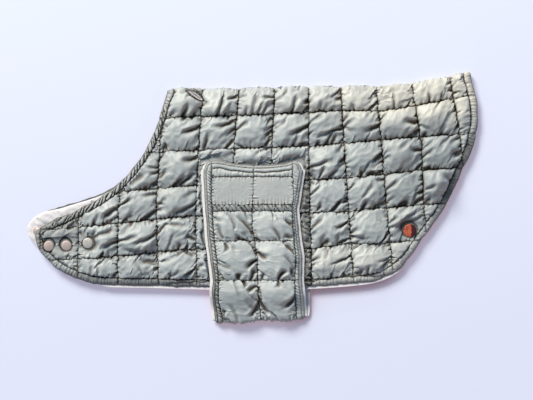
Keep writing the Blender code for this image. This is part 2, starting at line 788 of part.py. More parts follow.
def slit_cutter(name, scale):
    """A lens-shaped bar that cuts the leash slit, from outside the fold to its axis."""
    skin = Skin()
    share = np.linspace(-1, 1, SLIT_POINTS)
    upper = np.column_stack([share * SLIT_LENGTH / 2, (1 - share**2) * SLIT_WIDTH / 2])
    lens = np.vstack([upper, (upper * (1, -1))[::-1][1:-1]]) * scale
    axis_y = float(COAT_FOLD.axis_y(SLIT_MIDDLE))
    out = np.array([0, math.cos(SLIT_TILT), math.sin(SLIT_TILT)])
    up = np.array([0, -math.sin(SLIT_TILT), math.cos(SLIT_TILT)])
    middle = np.array([SLIT_MIDDLE, axis_y, COAT_RADIUS])
    along = np.array([1.0, 0, 0])
    rings = []
    for reach in (0.0, 3 * COAT_RADIUS):
        ring = [middle + out * reach + along * a + up * b for a, b in lens]
        rings.append(skin.add(ring))
    skin.strip(rings[0] + rings[0][:1], rings[1] + rings[1][:1])
    skin.faces.append(tuple(rings[0]))
    skin.faces.append(tuple(rings[1][::-1]))
    cutter = skin.to_object(name, "fleece")
    cutter.hide_render = True
    cutter.display_type = "WIRE"
    return cutter


def cut(target, cutter):
    boolean = target.modifiers.new("leash_slit", "BOOLEAN")
    boolean.operation = "DIFFERENCE"
    boolean.solver = "EXACT"
    boolean.object = cutter


# The coat ------------------------------------------------------------------------------------------------

DISCS_ON_COAT = [(cap, SNAP_CAP_DIAMETER) for cap in SNAP_CAPS] + [(RIVET, RIVET_DIAMETER)]


def make_materials():
    for name, finish in FINISHES.items():
        material = bpy.data.materials.new(name)
        material.use_nodes = True
        shader = material.node_tree.nodes["Principled BSDF"]
        shader.inputs["Base Color"].default_value = (*finish.color, 1.0)
        shader.inputs["Roughness"].default_value = finish.roughness
        shader.inputs["Metallic"].default_value = finish.metallic


def make_body():
    stations = coat_stations(0.0)
    left, right = coat_edges(0.0, 0.0)
    shell = folded_sheet(
        "body_shell",
        "shell_nylon",
        COAT_FOLD,
        COAT_RADIUS,
        SHELL_WALL,
        left,
        right,
        stations,
        CoatQuilting(stations[0], stations[-1]),
    )
    cut(shell, slit_cutter("slit_cutter", 1.0))
    left, right = coat_edges(LINING_INSET, LINING_SHOWS)
    lining = folded_sheet(
        "body_lining",
        "fleece",
        COAT_FOLD,
        COAT_RADIUS - SHELL_WALL - SEAM_GAP,
        LINING_WALL,
        left,
        right,
        coat_stations(LINING_INSET),
    )
    cut(lining, slit_cutter("slit_lining_cutter", SLIT_IN_LINING))


def make_band():
    folded_sheet(
        "band_shell",
        "shell_nylon",
        BAND_FOLDED,
        BAND_RADIUS,
        BAND_SHELL_WALL,
        band_upper_edge(0.0, 0.0),
        band_lower_edge(0.0),
        band_stations(0.0),
        BandQuilting(),
    )
    folded_sheet(
        "band_lining",
        "fleece",
        BAND_FOLDED,
        BAND_RADIUS - BAND_SHELL_WALL - SEAM_GAP,
        BAND_LINING_WALL,
        band_upper_edge(BAND_LINING_SHOWS, 1.5),
        band_lower_edge(BAND_LINING_SHOWS),
        band_stations(BAND_LINING_SHOWS),
    )


def make_metal():
    on_coat = 2 * COAT_RADIUS + SEAM_GAP
    for number, cap in enumerate(SNAP_CAPS, 1):
        base = on_coat + float(coat_lift(cap.x, cap.y))
        name = f"snap_cap_{number}"
        disc(name, "rose_metal", cap, base, SNAP_CAP_DIAMETER, SNAP_CAP_HEIGHT, 0.12)
    on_lining = SHELL_WALL + LINING_WALL + 2 * SEAM_GAP
    for number, cap in enumerate(SNAP_CAPS, 1):
        middle = Place(cap.x + STRAP_SLIP.x, cap.y + STRAP_SLIP.y)
        name = f"snap_stud_{number}"
        disc(name, "rose_metal", middle, on_lining, STUD_DIAMETER, STUD_HEIGHT, 0.35)
    disc("rivet", "copper", RIVET, on_coat, RIVET_DIAMETER, RIVET_HEIGHT, 0.08)


def main():
    for old in list(bpy.data.objects):
        bpy.data.objects.remove(old)
    make_materials()
    make_body()
    make_band()
    make_metal()


main()
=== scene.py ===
"""The looks of a quilted winter coat for a dog, folded along its spine and lying flat.

The frame holds the coat's solids. Each cloth is made again here as a fine mesh: it is drawn flat, its seams
are pinned, the cloth between them is relaxed over its wadding until it wrinkles, and the sheet is then folded
over. The layers on the floor stay flat. Lengths are in millimetres until a mesh is made.
"""

import math
from collections import namedtuple

import bpy
import numpy as np
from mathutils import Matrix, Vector
from mathutils.bvhtree import BVHTree
from mathutils.geometry import delaunay_2d_cdt
from mathutils.kdtree import KDTree


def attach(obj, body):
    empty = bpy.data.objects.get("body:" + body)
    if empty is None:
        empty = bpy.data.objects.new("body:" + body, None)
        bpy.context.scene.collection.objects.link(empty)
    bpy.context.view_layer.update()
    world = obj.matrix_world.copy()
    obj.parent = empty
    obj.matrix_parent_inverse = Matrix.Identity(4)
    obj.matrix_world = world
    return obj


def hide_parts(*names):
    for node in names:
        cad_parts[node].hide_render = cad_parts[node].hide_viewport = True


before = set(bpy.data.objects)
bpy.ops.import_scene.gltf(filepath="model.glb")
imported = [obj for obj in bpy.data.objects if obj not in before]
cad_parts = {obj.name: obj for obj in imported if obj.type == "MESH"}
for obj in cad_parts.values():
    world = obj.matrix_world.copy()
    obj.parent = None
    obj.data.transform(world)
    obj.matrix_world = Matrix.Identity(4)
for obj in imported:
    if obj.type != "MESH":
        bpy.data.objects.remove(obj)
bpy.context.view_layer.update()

MM = 0.001
SEED = 41

# Layers, as in the solids: walls, gaps and the radius of each fold.
SHELL_WALL = 3.0
LINING_WALL = 1.5
SEAM_GAP = 0.3
LINING_GAP = 0.5
BAND_SHELL_WALL = 2.5
BAND_LINING_WALL = 1.2
COAT_RADIUS = (2 * (SHELL_WALL + SEAM_GAP + LINING_WALL) + LINING_GAP) / 2
BAND_RADIUS = (2 * (BAND_SHELL_WALL + SEAM_GAP + BAND_LINING_WALL) + LINING_GAP) / 2

Place = namedtuple("Place", "x y")

# The crest of the spine fold, from the neck to the tail, in the valleys between the cells.
SPINE = (
    Place(-98.0, 126.0),
    Place(-55.0, 125.0),
    Place(-14.5, 125.5),
    Place(66.5, 127.0),
    Place(104.0, 127.5),
    Place(143.5, 128.5),
    Place(185.0, 131.5),
    Place(217.5, 137.0),
    Place(250.5, 146.0),
)
NECK_EDGE = (
    Place(-98.5, 120.9),
    Place(-102.5, 111.5),
    Place(-107.5, 92.0),
    Place(-114.5, 73.5),
    Place(-123.5, 55.0),
    Place(-138.5, 33.0),
)
LEFT_STRAP_EDGE = (
    Place(-158.5, 12.0),
    Place(-180.5, -3.0),
    Place(-206.0, -16.5),
    Place(-232.5, -28.0),
    Place(-245.5, -34.5),
    Place(-251.5, -41.0),
    Place(-252.5, -47.5),
    Place(-245.5, -63.5),
    Place(-227.0, -82.0),
)
RIGHT_STRAP_EDGE = (
    Place(-158.5, 13.5),
    Place(-180.5, 2.0),
    Place(-206.0, -6.0),
    Place(-232.5, -14.5),
    Place(-249.0, -21.5),
    Place(-258.0, -29.0),
    Place(-261.0, -37.0),
    Place(-259.5, -44.5),
    Place(-246.5, -60.0),
    Place(-227.0, -81.0),
)
HEM_EDGE = (
    Place(-211.5, -90.5),
    Place(-195.5, -96.5),
    Place(-174.5, -100.5),
    Place(-119.0, -102.0),
    Place(-49.5, -104.0),
    Place(15.0, -105.0),
    Place(78.5, -102.5),
    Place(134.0, -97.5),
    Place(153.5, -92.0),
    Place(167.5, -84.0),
)
TAIL_EDGE = (
    Place(180.5, -70.5),
    Place(195.5, -50.5),
    Place(224.5, -8.0),
    Place(237.0, 19.0),
    Place(249.0, 43.5),
    Place(257.0, 65.5),
    Place(261.0, 88.5),
    Place(259.5, 111.5),
    Place(253.0, 140.5),
)

# Where each seam that runs across the body lies, at four heights from the back down to the hem.
CrossSeam = namedtuple("CrossSeam", "back flank side hem")
CROSS_SEAM_Y = CrossSeam(124.5, 55.0, -14.5, -90.0)
CROSS_SEAMS = (
    CrossSeam(-239.5, -243.0, -245.5, -246.5),
    CrossSeam(-195.5, -199.0, -201.5, -202.5),
    CrossSeam(-145.5, -150.0, -155.5, -156.0),
    CrossSeam(-101.5, -107.5, -111.5, -109.0),
    CrossSeam(-57.5, -62.5, -66.0, -64.5),
    CrossSeam(-15.5, -21.0, -24.0, -21.5),
    CrossSeam(26.0, 22.5, 21.5, 24.0),
    CrossSeam(65.0, 65.5, 66.5, 69.0),
    CrossSeam(102.5, 106.5, 111.5, 117.0),
    CrossSeam(143.5, 150.0, 155.5, 163.0),
    CrossSeam(185.0, 196.0, 198.5, 206.0),
    CrossSeam(229.0, 240.5, 247.5, 252.5),
    CrossSeam(271.0, 282.5, 289.5, 294.5),
)
# Where each seam that runs along the body lies, at nine stations from the strap to the tail.
LengthSeam = namedtuple("LengthSeam", "tip strap neck shoulder belly loin flank rump tail")
LENGTH_SEAM_X = LengthSeam(-223.5, -153.5, -84.0, -14.5, 66.5, 107.5, 151.5, 194.5, 252.5)
LENGTH_SEAMS = (
    LengthSeam(80.5, 86.0, 93.0, 95.0, 98.5, 100.5, 100.0, 107.0, 118.0),
    LengthSeam(43.5, 49.0, 53.5, 56.5, 59.0, 62.5, 66.5, 70.0, 73.5),
    LengthSeam(0.5, 6.0, 12.5, 16.5, 20.0, 22.0, 26.0, 31.0, 35.0),
    LengthSeam(-37.0, -30.0, -22.5, -19.0, -18.0, -17.0, -12.5, -9.0, -4.5),
    LengthSeam(-72.5, -68.0, -61.0, -59.0, -59.5, -54.0, -53.5, -49.5, -46.0),
    LengthSeam(-110.5, -106.0, -99.0, -97.0, -97.5, -92.0, -91.5, -87.5, -84.0),
)

# The belly band: its edges, the stitching inside them and its centre seam, from its top end down to its fold.
BandLine = namedtuple("BandLine", "y left left_stitch centre right_stitch right")
BAND_LINES = (
    BandLine(42.0, -58.0, -47.0, 1.5, 46.5, 59.0),
    BandLine(30.0, -59.5, -47.0, 1.5, 46.5, 61.0),
    BandLine(0.0, -58.0, -47.0, 0.5, 47.5, 56.0),
    BandLine(-13.5, -57.0, -46.0, 0.3, 46.0, 53.5),
    BandLine(-30.0, -56.0, -45.0, 0.0, 46.5, 55.0),
    BandLine(-49.0, -54.5, -43.5, 2.3, 48.0, 57.0),
    BandLine(-68.0, -52.0, -40.5, 5.5, 49.5, 60.0),
    BandLine(-96.0, -48.5, -38.5, 6.0, 49.0, 59.5),
    BandLine(-116.0, -49.5, -38.5, 7.0, 49.0, 61.5),
    BandLine(-136.0, -47.0, -35.0, 9.5, 50.5, 63.0),
    BandLine(-148.0, -44.5, -33.0, 10.0, 51.0, 64.0),
)
# Each row of the band begins at top, ends where the next one begins, and stands up by rise.
BandRow = namedtuple("BandRow", "top rise")
BAND_ROWS = (
    BandRow(33.5, 3.0),
    BandRow(23.5, 1.7),
    BandRow(-8.5, 2.6),
    BandRow(-16.5, 7.8),
    BandRow(-50.5, 9.0),
    BandRow(-96.0, 8.6),
)
# The numbers of the band's crossing seams that run out to the piping.
SEAMS_TO_PIPING = (2, 4, 5)
BAND_TOP = 42.0
BAND_CORNER = 9.0
# How far the band's top edge sags between its corners, and where it is lowest.
BAND_SAG = 5.5
BAND_SAG_AT = 8.0
BAND_FOLD = (
    Place(-46.0, -147.0),
    Place(-25.0, -144.5),
    Place(12.0, -142.5),
    Place(65.0, -141.5),
)
BAND_PIPING = 3.0
BAND_LINING_SHOWS = 2.9
BAND_UNDER_LEFT = -45.0
BAND_UNDER_RIGHT = 66.5
BAND_UNDER_END = -105.6
BAND_LEAVES_COAT = -106.5
BAND_REACHES_FLOOR = -133.0

PRESSED_PUFF = 2.2
LINING_INSET = 1.8
LINING_SHOWS = 3.2
LINING_CURLS = 1.2
STUD_LIFT = 1.6
STUD_LIFT_FROM = -176.0
STUD_LIFT_FULL = -198.0
FAR_STRAP_END = -135.0
FAR_TIP_SHOWS = 0.8

# The stuffed cells and the topstitched channel round the edge.
PUFF = 10.6
CHANNEL = 8.0
NECK_CHANNEL = 6.5
CHANNEL_PUFF = 1.3
ROPE_PITCH = 4.0
NECK_PITCH = 6.0
ROPE_HEIGHT = 1.5
SEAM_DEPTH = -0.5
EDGE_DEPTH = -2.0
STITCH_PITCH = 3.4
# The spacing of the points: on the coat, the band, the coat's channel and the far strap's lining, on the
# first rough sheet, and on the layers that lie on the floor.
FINE = 1.35
BAND_FINE = 0.95
CHANNEL_FINE = 0.85
STRAP_FINE = 2.2
FOLD_SPACING = 4.2
COARSE = 6.0
# Painted shade in the cloth's hollows: how far about it is looked at, how deep counts in full, and its share.
HOLLOW_SHADING = ((3.5, 1.05, 0.6), (11.0, 3.2, 0.6))
# How much longer than its place the cloth is cut: across the creases, all over, and besides at a seam.
CREASE_EXCESS = 0.22
PUFF_EXCESS = 0.09
SEAM_EXCESS = 0.16
# How much deeper the tucks are pressed than their tables say, and the height of a lip against its depth.
TUCK_SCALE = 1.3
LIP = 0.3
# The coat's cells: how many columns, about how large one is, and the angle that its creases tend to.
CELL_COLUMNS = len(CROSS_SEAMS) - 1
CELL_LENGTH = 42.0
CELL_DEPTH = 38.0
COAT_LEAN = -44
# The small puckers beside a seam: how long each is along the seam, how high it stands and how far it reaches.
PUCKER = 4.3
PUCKER_HEIGHT = 1.9
PUCKER_REACH = 3.6
# The fine wrinkles that cover each cell: how far apart they lie, and how high they stand.
CRUMPLE = 15.0
CRUMPLE_HEIGHT = 0.6

# The leash slit: a lens-shaped hole on the upper side of the spine fold, leaning down towards the tail.
SLIT_MIDDLE = -68.0
SLIT_LENGTH = 24.0
SLIT_WIDTH = 5.0
SLIT_ALONG = 7.5
SLIT_LEAN = math.radians(38)
SLIT_HEM = 2.2
SLIT_BULGE = 2.6

SNAP_CAPS = (Place(-236.0, -56.5), Place(-215.5, -56.0), Place(-191.0, -53.0))
SNAP_RADIUS = 6.0
SNAP_HEIGHT = 1.8
STRAP_SLIP = Place(-13.0, 17.5)
STUD_HEIGHT = 1.5
RIVET = Place(182.5, -38.5)
RIVET_RADIUS = 7.6
RIVET_HEIGHT = 1.9
# The discs on the coat's near side, each with its radius.
DISCS = [(cap, SNAP_RADIUS) for cap in SNAP_CAPS] + [(RIVET, RIVET_RADIUS)]

# The coat's main creases, each from its deepest end, which is at a seam, to where it fades out.
Tuck = namedtuple("Tuck", "x y to_x to_y depth width bend", defaults=(4.0, 2.4, 0.0))
COAT_TUCKS = (
    Tuck(-83.0, 93.0, -73.5, 109.5, 5.0, 2.8),
    Tuck(-69.0, 93.0, -64.5, 103.5, 3.0),
    Tuck(-76.0, 122.0, -84.0, 118.5, 3.0, 2.0),
    Tuck(-42.5, 94.5, -30.5, 122.0, 5.0, 3.0),
    Tuck(-17.0, 118.5, -30.5, 113.0),
    Tuck(-57.5, 106.0, -49.5, 113.0, 3.0),
    Tuck(-8.5, 96.5, -5.0, 108.0, 4.0, 2.0),
    Tuck(-0.5, 98.0, 6.5, 122.0, 3.0, 3.0),
    Tuck(5.0, 99.0, 12.0, 111.5, 4.0, 2.2),
    Tuck(12.0, 99.0, 18.0, 111.5, 4.0, 2.0),
    Tuck(24.0, 116.5, 10.0, 116.5, 4.5, 2.0),
    Tuck(44.5, 100.0, 51.5, 120.0, 5.0, 2.6),
    Tuck(58.5, 100.0, 64.5, 107.0, 3.5, 2.0),
    Tuck(65.5, 114.0, 58.5, 110.5, 3.5),
    Tuck(35.5, 117.5, 41.0, 125.5, 2.5),
    Tuck(77.0, 101.5, 82.0, 113.0, 4.5, 2.2),
    Tuck(88.5, 102.5, 94.5, 107.0, 3.0, 2.0),
    Tuck(104.0, 115.0, 92.0, 115.0, 3.5, 2.5),
    Tuck(117.5, 101.5, 115.5, 111.5),
    Tuck(145.5, 111.5, 131.5, 102.5, 5.0),
    Tuck(164.0, 102.5, 164.0, 121.0, 5.0, 2.2),
    Tuck(175.5, 102.5, 185.0, 115.0, 4.5, 2.2),
    Tuck(155.0, 101.5, 158.5, 107.0, 3.0, 2.0),
    Tuck(204.5, 109.5, 204.5, 123.5, 4.5, 2.0),
    Tuck(217.5, 113.0, 218.5, 127.0, 4.0, 2.0),
    Tuck(231.5, 124.5, 220.0, 125.5, 3.0, 1.8),
    Tuck(229.0, 123.5, 247.5, 120.0, 2.5, 1.8),
    Tuck(-62.0, 82.5, -83.0, 72.5, 5.5, 3.0),
    Tuck(-77.0, 92.0, -84.0, 87.5, 3.0, 2.0),
    Tuck(-62.0, 59.5, -71.5, 55.0, 3.5),
    Tuck(-104.0, 55.0, -95.5, 62.0, 4.0, 3.0),
    Tuck(-56.5, 55.0, -47.0, 77.0, 5.0, 2.6),
    Tuck(-19.0, 89.5, -46.0, 77.0, 4.5, 2.6),
    Tuck(-34.0, 56.0, -21.5, 69.0, 4.5),
    Tuck(-17.0, 78.0, -0.5, 88.5, 3.5),
    Tuck(6.5, 56.0, 21.5, 69.0, 4.5, 2.2),
    Tuck(22.5, 78.0, 12.0, 71.0),
    Tuck(-15.5, 62.0, -5.0, 56.0, 3.0, 2.0),
    Tuck(65.5, 85.0, 41.0, 70.0, 5.5, 3.0),
    Tuck(28.5, 79.0, 43.5, 93.0, 3.0, 2.6),
    Tuck(65.5, 63.0, 49.5, 59.5, 3.5, 3.0),
    Tuck(66.5, 85.0, 86.5, 96.5),
    Tuck(107.5, 81.5, 71.5, 69.0, 5.0),
    Tuck(82.0, 59.5, 94.5, 77.0, 4.5, 2.0),
    Tuck(91.0, 62.0, 98.0, 73.5, 4.0, 2.0),
    Tuck(73.5, 62.0, 78.5, 67.5, 3.5, 2.0),
    Tuck(107.5, 81.5, 117.5, 75.5, 4.0, 2.0),
    Tuck(149.0, 85.0, 126.0, 75.5, 5.5, 2.8),
    Tuck(117.5, 95.5, 131.5, 91.0, 2.5, 1.8),
    Tuck(106.0, 88.5, 113.0, 96.5, 3.0),
    Tuck(149.0, 89.5, 159.5, 98.0, 3.5, 2.0),
    Tuck(192.0, 87.5, 172.5, 88.5, 5.5, 3.0),
    Tuck(193.0, 78.0, 174.5, 70.0, 4.5, 3.2),
    Tuck(194.5, 85.0, 207.0, 79.0, 4.0, 2.0),
    Tuck(195.5, 70.0, 204.5, 78.0, 3.0),
    Tuck(239.5, 87.5, 230.5, 77.0, 3.0, 2.6),
    Tuck(-140.0, 15.5, -122.5, 30.5, 5.0, 3.0),
    Tuck(-109.5, 35.0, -122.5, 33.0, 3.5, 2.0),
    Tuck(-109.5, 29.5, -121.0, 26.0, 4.0, 2.0),
    Tuck(-109.5, 20.0, -121.0, 12.0, 4.0, 2.0),
    Tuck(-65.5, 46.5, -84.0, 38.5, 5.0, 3.0),
    Tuck(-84.0, 15.5, -69.0, 29.5, 5.0),
    Tuck(-92.0, 14.5, -77.0, 27.0, 4.0, 3.0),
    Tuck(-106.0, 23.5, -98.0, 35.0, 3.5, 3.0),
    Tuck(-153.5, -10.0, -137.5, -2.0, 4.5, 2.2),
    Tuck(-155.0, -10.0, -178.0, -27.5, 5.5, 3.2),
    Tuck(-130.5, -26.5, -111.0, -13.5, 5.0),
    Tuck(-111.0, 5.0, -129.5, -2.0, 3.5),
    Tuck(-66.5, -5.5, -98.0, -21.5, 5.5),
    Tuck(-108.5, -8.0, -98.0, -9.0, 3.0, 1.8),
    Tuck(-231.5, -37.0, -217.5, -26.5, 3.5, 2.0),
    Tuck(-221.0, -34.5, -215.0, -26.5, 3.0, 2.0),
    Tuck(-186.0, -33.5, -181.5, -24.0, 4.0, 2.0),
    Tuck(-185.0, -47.0, -159.5, -37.0, 5.0, 2.6),
    Tuck(-186.0, -45.0, -179.0, -38.0, 3.5, 2.0),
    Tuck(-156.0, -50.5, -179.0, -60.0, 5.0, 2.6),
    Tuck(-172.5, -62.5, -179.0, -68.0, 4.5),
    Tuck(-216.5, -70.5, -210.5, -64.5, 3.5),
    Tuck(-196.5, -47.0, -200.0, -39.0, 3.0),
    Tuck(-186.0, -90.0, -185.0, -74.0, 2.2, 2.6),
    Tuck(-179.0, -90.0, -178.0, -75.0, 2.0, 2.6),
    Tuck(-156.0, -85.5, -164.0, -91.5, 3.5, 2.0),
    Tuck(-155.0, -50.5, -130.5, -43.5, 4.5),
    Tuck(-112.0, -41.5, -142.0, -55.5, 5.5, 2.8),
    Tuck(-121.0, -61.0, -153.5, -60.0, 3.5, 2.0),
    Tuck(-111.0, -75.0, -130.5, -74.0, 4.0, 3.4),
    Tuck(-109.5, -82.0, -116.5, -84.5, 3.5, 2.0),
    Tuck(-127.0, -90.0, -134.0, -76.0, 2.5, 2.0),
    Tuck(-109.5, -43.5, -98.0, -30.0, 5.0, 2.2),
    Tuck(-100.5, -32.0, -75.0, -34.5, 3.5, 2.6),
    Tuck(-68.0, -48.5, -79.5, -43.5, 4.0, 3.0),
    Tuck(-86.5, -60.0, -85.5, -52.0, 3.0, 2.0),
    Tuck(-66.5, -79.5, -82.0, -92.5, 4.5, 2.2),
    Tuck(-80.5, -62.5, -69.0, -68.0, 3.0, 1.8),
    Tuck(-95.5, -93.5, -97.0, -84.5, 3.0),
    Tuck(66.5, 35.0, 94.5, 43.5, 4.5),
    Tuck(108.5, 46.5, 98.0, 40.0, 4.0, 2.2),
    Tuck(77.0, 24.5, 84.0, 37.5, 4.5, 2.2),
    Tuck(87.5, 24.5, 99.0, 35.0, 4.5),
    Tuck(151.5, 53.5, 136.5, 40.0, 5.5, 2.8),
    Tuck(124.5, 24.5, 127.0, 34.0),
    Tuck(152.5, 29.5, 129.5, 28.0, 4.0, 3.0),
    Tuck(68.0, 2.5, 82.0, 14.5, 3.5, 2.0),
    Tuck(73.5, 14.5, 82.0, 20.0, 2.5, 1.8),
    Tuck(88.5, -16.0, 106.0, 0.5, 5.0, 2.8),
    Tuck(75.0, -13.5, 80.5, -5.5, 4.0, 2.2),
    Tuck(111.0, -2.0, 101.5, -6.5, 3.5, 2.0),
    Tuck(113.0, 8.5, 122.5, 17.5, 3.5, 2.0),
    Tuck(124.5, -14.5, 133.0, -3.0, 4.5),
    Tuck(153.5, -5.5, 134.0, -11.5, 3.0, 3.4),
    Tuck(128.0, 0.5, 141.0, 15.5, 2.5),
    Tuck(152.5, 20.0, 140.0, 17.5, 3.5),
    Tuck(157.0, 9.5, 172.5, 19.0),
    Tuck(194.5, 55.0, 180.5, 53.5, 4.5, 2.8),
    Tuck(196.5, 41.0, 186.0, 30.5, 4.0, 2.2),
    Tuck(195.5, 33.0, 208.0, 35.0),
    Tuck(242.0, 52.5, 227.0, 51.5, 3.5, 3.4),
    Tuck(167.5, -11.5, 181.5, -1.0, 5.0, 3.0),
    Tuck(199.0, 0.5, 182.5, -6.5, 4.0, 2.6),
    Tuck(199.0, 8.5, 187.5, 5.0, 3.0, 2.6),
    Tuck(201.5, 9.5, 214.0, 14.5, 3.5),
    Tuck(229.0, 20.0, 214.0, 27.0, 4.5, 2.8),
    Tuck(227.0, 8.5, 213.0, 2.5, 3.0),
    Tuck(175.5, -26.5, 194.5, -16.0, 4.0, 2.2),
    Tuck(109.5, -27.5, 95.5, -37.0, 5.0, 2.2),
    Tuck(69.0, -37.0, 85.5, -21.5, 3.5),
    Tuck(78.5, -57.5, 90.0, -45.0, 4.5),
    Tuck(111.0, -47.0, 94.5, -53.0, 4.5, 2.0),
    Tuck(113.0, -41.5, 127.0, -34.5, 3.0),
    Tuck(148.0, -50.5, 156.0, -38.0, 4.5, 2.0),
    Tuck(115.5, -45.0, 138.5, -47.0, 3.0, 3.0),
    Tuck(158.5, -35.5, 174.5, -32.0, 3.5, 2.0),
    Tuck(158.5, -30.0, 172.5, -21.5, 3.5, 2.0),
    Tuck(182.5, -31.0, 196.5, -20.5, 4.0, 2.0),
    Tuck(69.0, -75.0, 80.5, -68.0, 3.0),
    Tuck(113.0, -68.0, 90.0, -78.5, 2.5, 3.0),
    Tuck(90.0, -93.5, 92.0, -84.5, 3.0, 2.0),
    Tuck(100.5, -93.5, 107.5, -86.5, 3.0),
    Tuck(133.0, -88.0, 134.0, -77.5, 4.0, 1.8),
    Tuck(124.5, -89.0, 126.0, -81.0, 3.5, 2.0),
    Tuck(162.0, -70.5, 146.5, -82.0, 3.5, 2.6),
)
# The band's main creases, and its rows of fine gathers.
BAND_TUCKS = (
    Tuck(-20.6, -35.8, -29.1, -19.1, 2.0, 2.8, -1.5),
    Tuck(-0.1, -42.3, -19.4, -21.7, 2.8, 2.8, -1.5),
    Tuck(-33.5, -46.2, -40.0, -29.5, 2.2, 2.6, 1.0),
    Tuck(-8.7, -49.5, -20.3, -42.6, 3.0, 2.2, 2.0),
    Tuck(46.3, -35.8, 34.7, -25.5, 2.8, 2.6, -1.0),
    Tuck(31.9, -47.2, 19.1, -32.1, 2.2, 2.8, -1.0),
    Tuck(8.7, -51.3, 2.6, -44.9, 3.0, 2.2, 0.5),
    Tuck(45.0, -47.0, 36.0, -42.0, 2.8, 2.0, 0.5),
    Tuck(-31.7, -54.6, -29.1, -64.0, 3.6, 2.4, 1.0),
    Tuck(-1.4, -57.3, 4.5, -68.0, 3.4, 2.2, 1.0),
    Tuck(-16.2, -95.0, -15.5, -84.0, 4.8, 2.6, 0.5),
    Tuck(-2.7, -93.4, 0.5, -82.0, 4.8, 2.4, -0.5),
    Tuck(5.1, -72.7, -8.0, -83.0, 4.6, 2.4, -1.5),
    Tuck(-33.0, -94.0, -38.0, -84.0, 3.4, 2.2, 1.0),
    Tuck(46.3, -66.3, 33.5, -54.6, 4.4, 2.6, -1.5),
    Tuck(29.6, -93.4, 39.5, -84.5, 5.0, 2.6, 1.5),
    Tuck(47.5, -92.0, 43.0, -80.0, 3.6, 2.2, 1.0),
    Tuck(7.0, -64.0, 19.0, -72.0, 3.4, 2.4, -1.0),
    Tuck(12.0, -95.0, 13.5, -84.0, 3.2, 2.0, 0.5),
    Tuck(-11.7, -97.1, -6.4, -105.0, 4.0, 2.2, -1.0),
    Tuck(6.4, -120.3, -3.5, -138.0, 5.2, 2.8, 1.0),
    Tuck(4.5, -104.0, -6.0, -112.0, 3.8, 2.4, -1.0),
    Tuck(7.5, -115.3, 22.0, -137.0, 5.2, 2.4, -1.0),
    Tuck(49.0, -114.0, 35.0, -128.0, 4.6, 2.6, 1.5),
    Tuck(29.0, -98.0, 28.0, -106.0, 3.4, 2.0, 0.5),
    Tuck(-33.0, -138.0, -30.0, -126.0, 3.4, 2.2, 1.0),
)
# The seam at the band's fold, and the gathers over it: where they start, how long they are, how far apart.
FOLD_SEAM = 1.0
FOLD_GATHERS = (1.5, 7.0, 3.6)
# The small gathers: how long each is along its seam, and how high it stands.
Gather = namedtuple("Gather", "pitch height")
SIDE_GATHER = Gather(3.5, 1.9)
NARROW_GATHER = Gather(5.2, 2.4)
FLAT_GATHER = Gather(3.8, 1.15)
BESIDE_BAND_GATHER = Gather(6.4, 1.6)

# A zone of the coat: where its effect begins and is full along x and along y, and where it ends along y.
Zone = namedtuple("Zone", "x y y_end", defaults=(None,))
HEM_LINING = Zone((-195, -165), (-60, -85))
NECK_STITCHING = Zone((-90, -110), (-20, 20))
NECK_ROPE = Zone((-95, -105), (-45, -20))
# The zones from here on place painted shade and painted light on the nylon; RUMP also drops the tail's edge.
NEAR_STRAP = Zone((-92, -108), (-95, -60))
STRAP_TIP = Zone((-178, -215), (-76, -58))
LOWER_LEFT = Zone((-45, -75), (-80, -90))
LOWER_RIGHT = Zone((50, 80), (-45, -65))
BACK_RIGHT = Zone((20, 190), (68, 100))
RUMP = Zone((150, 185), (-35, 5), (62, 80))
BODY_RIGHT = Zone((115, 150), (-45, -15), (58, 75))
BELOW_NECK = Zone((-50, -85), (-20, 10), (58, 75))

# The photo's frame, in its pixels, and what one of them measures on the coat.
FRAME_WIDTH = 533
FRAME_HEIGHT = 400
PIXEL = 1.16
ORIGIN_PX = Place(252.5, 197.3)


# Curves ------------------------------------------------------------------------------------------------


def smooth_curve(places, step):
    """Points about step apart on a smooth curve through the places."""
    knots = np.array(places, float)
    ends = np.vstack([2 * knots[0] - knots[1], knots, 2 * knots[-1] - knots[-2]])
    s = np.linspace(0, 1, 24, endpoint=False)[:, None]
    pieces = []
    for p0, p1, p2, p3 in zip(ends, ends[1:], ends[2:], ends[3:]):
        reach = np.linalg.norm(p2 - p1)
        into = (p2 - p0) / np.linalg.norm(p2 - p0) * reach
        out = (p3 - p1) / np.linalg.norm(p3 - p1) * reach
        pieces.append(
            p1 * (2 * s**3 - 3 * s**2 + 1)
            + into * (s**3 - 2 * s**2 + s)
            + p2 * (3 * s**2 - 2 * s**3)
            + out * (s**3 - s**2)
        )
    return spaced(np.vstack([*pieces, knots[-1:]]), step)


def along(line):
    """How far each point of a line lies from its start."""
    return np.r_[0, np.cumsum(np.linalg.norm(np.diff(line, axis=0), axis=1))]


def spaced(line, step):
    """The line again, with points about step apart."""
    run = along(line)
    at = np.linspace(0, run[-1], max(2, round(run[-1] / step) + 1))
    return np.column_stack([np.interp(at, run, line[:, k]) for k in range(line.shape[1])])


def respaced(loop, step):
    """The closed loop again, with points about step apart."""
    return spaced(np.vstack([loop, loop[:1]]), step)[:-1]


def left_of(line, closed=True):
    """The unit normals of a line, on the left of its direction of travel."""
    if closed:
        ahead = np.roll(line, -2, axis=0) - np.roll(line, 2, axis=0)
    else:
        ahead = np.gradient(line, axis=0)
    ahead = ahead / np.maximum(np.linalg.norm(ahead, axis=1), 1e-9)[:, None]
    return np.column_stack([-ahead[:, 1], ahead[:, 0]])


def inside(points, loop):
    """Whether each point is inside the closed loop."""
    ax, ay = loop[:, 0], loop[:, 1]
    bx, by = np.roll(ax, -1), np.roll(ay, -1)
    slope = (bx - ax) / np.where(by == ay, 1e-9, by - ay)
    found = []
    for part in np.array_split(points, max(1, len(points) // 3000)):
        x, y = part[:, :1], part[:, 1:]
        crosses = (ay > y) != (by > y)
        found.append((crosses & (x < slope * (y - ay) + ax)).sum(1) % 2 == 1)
    return np.concatenate(found)


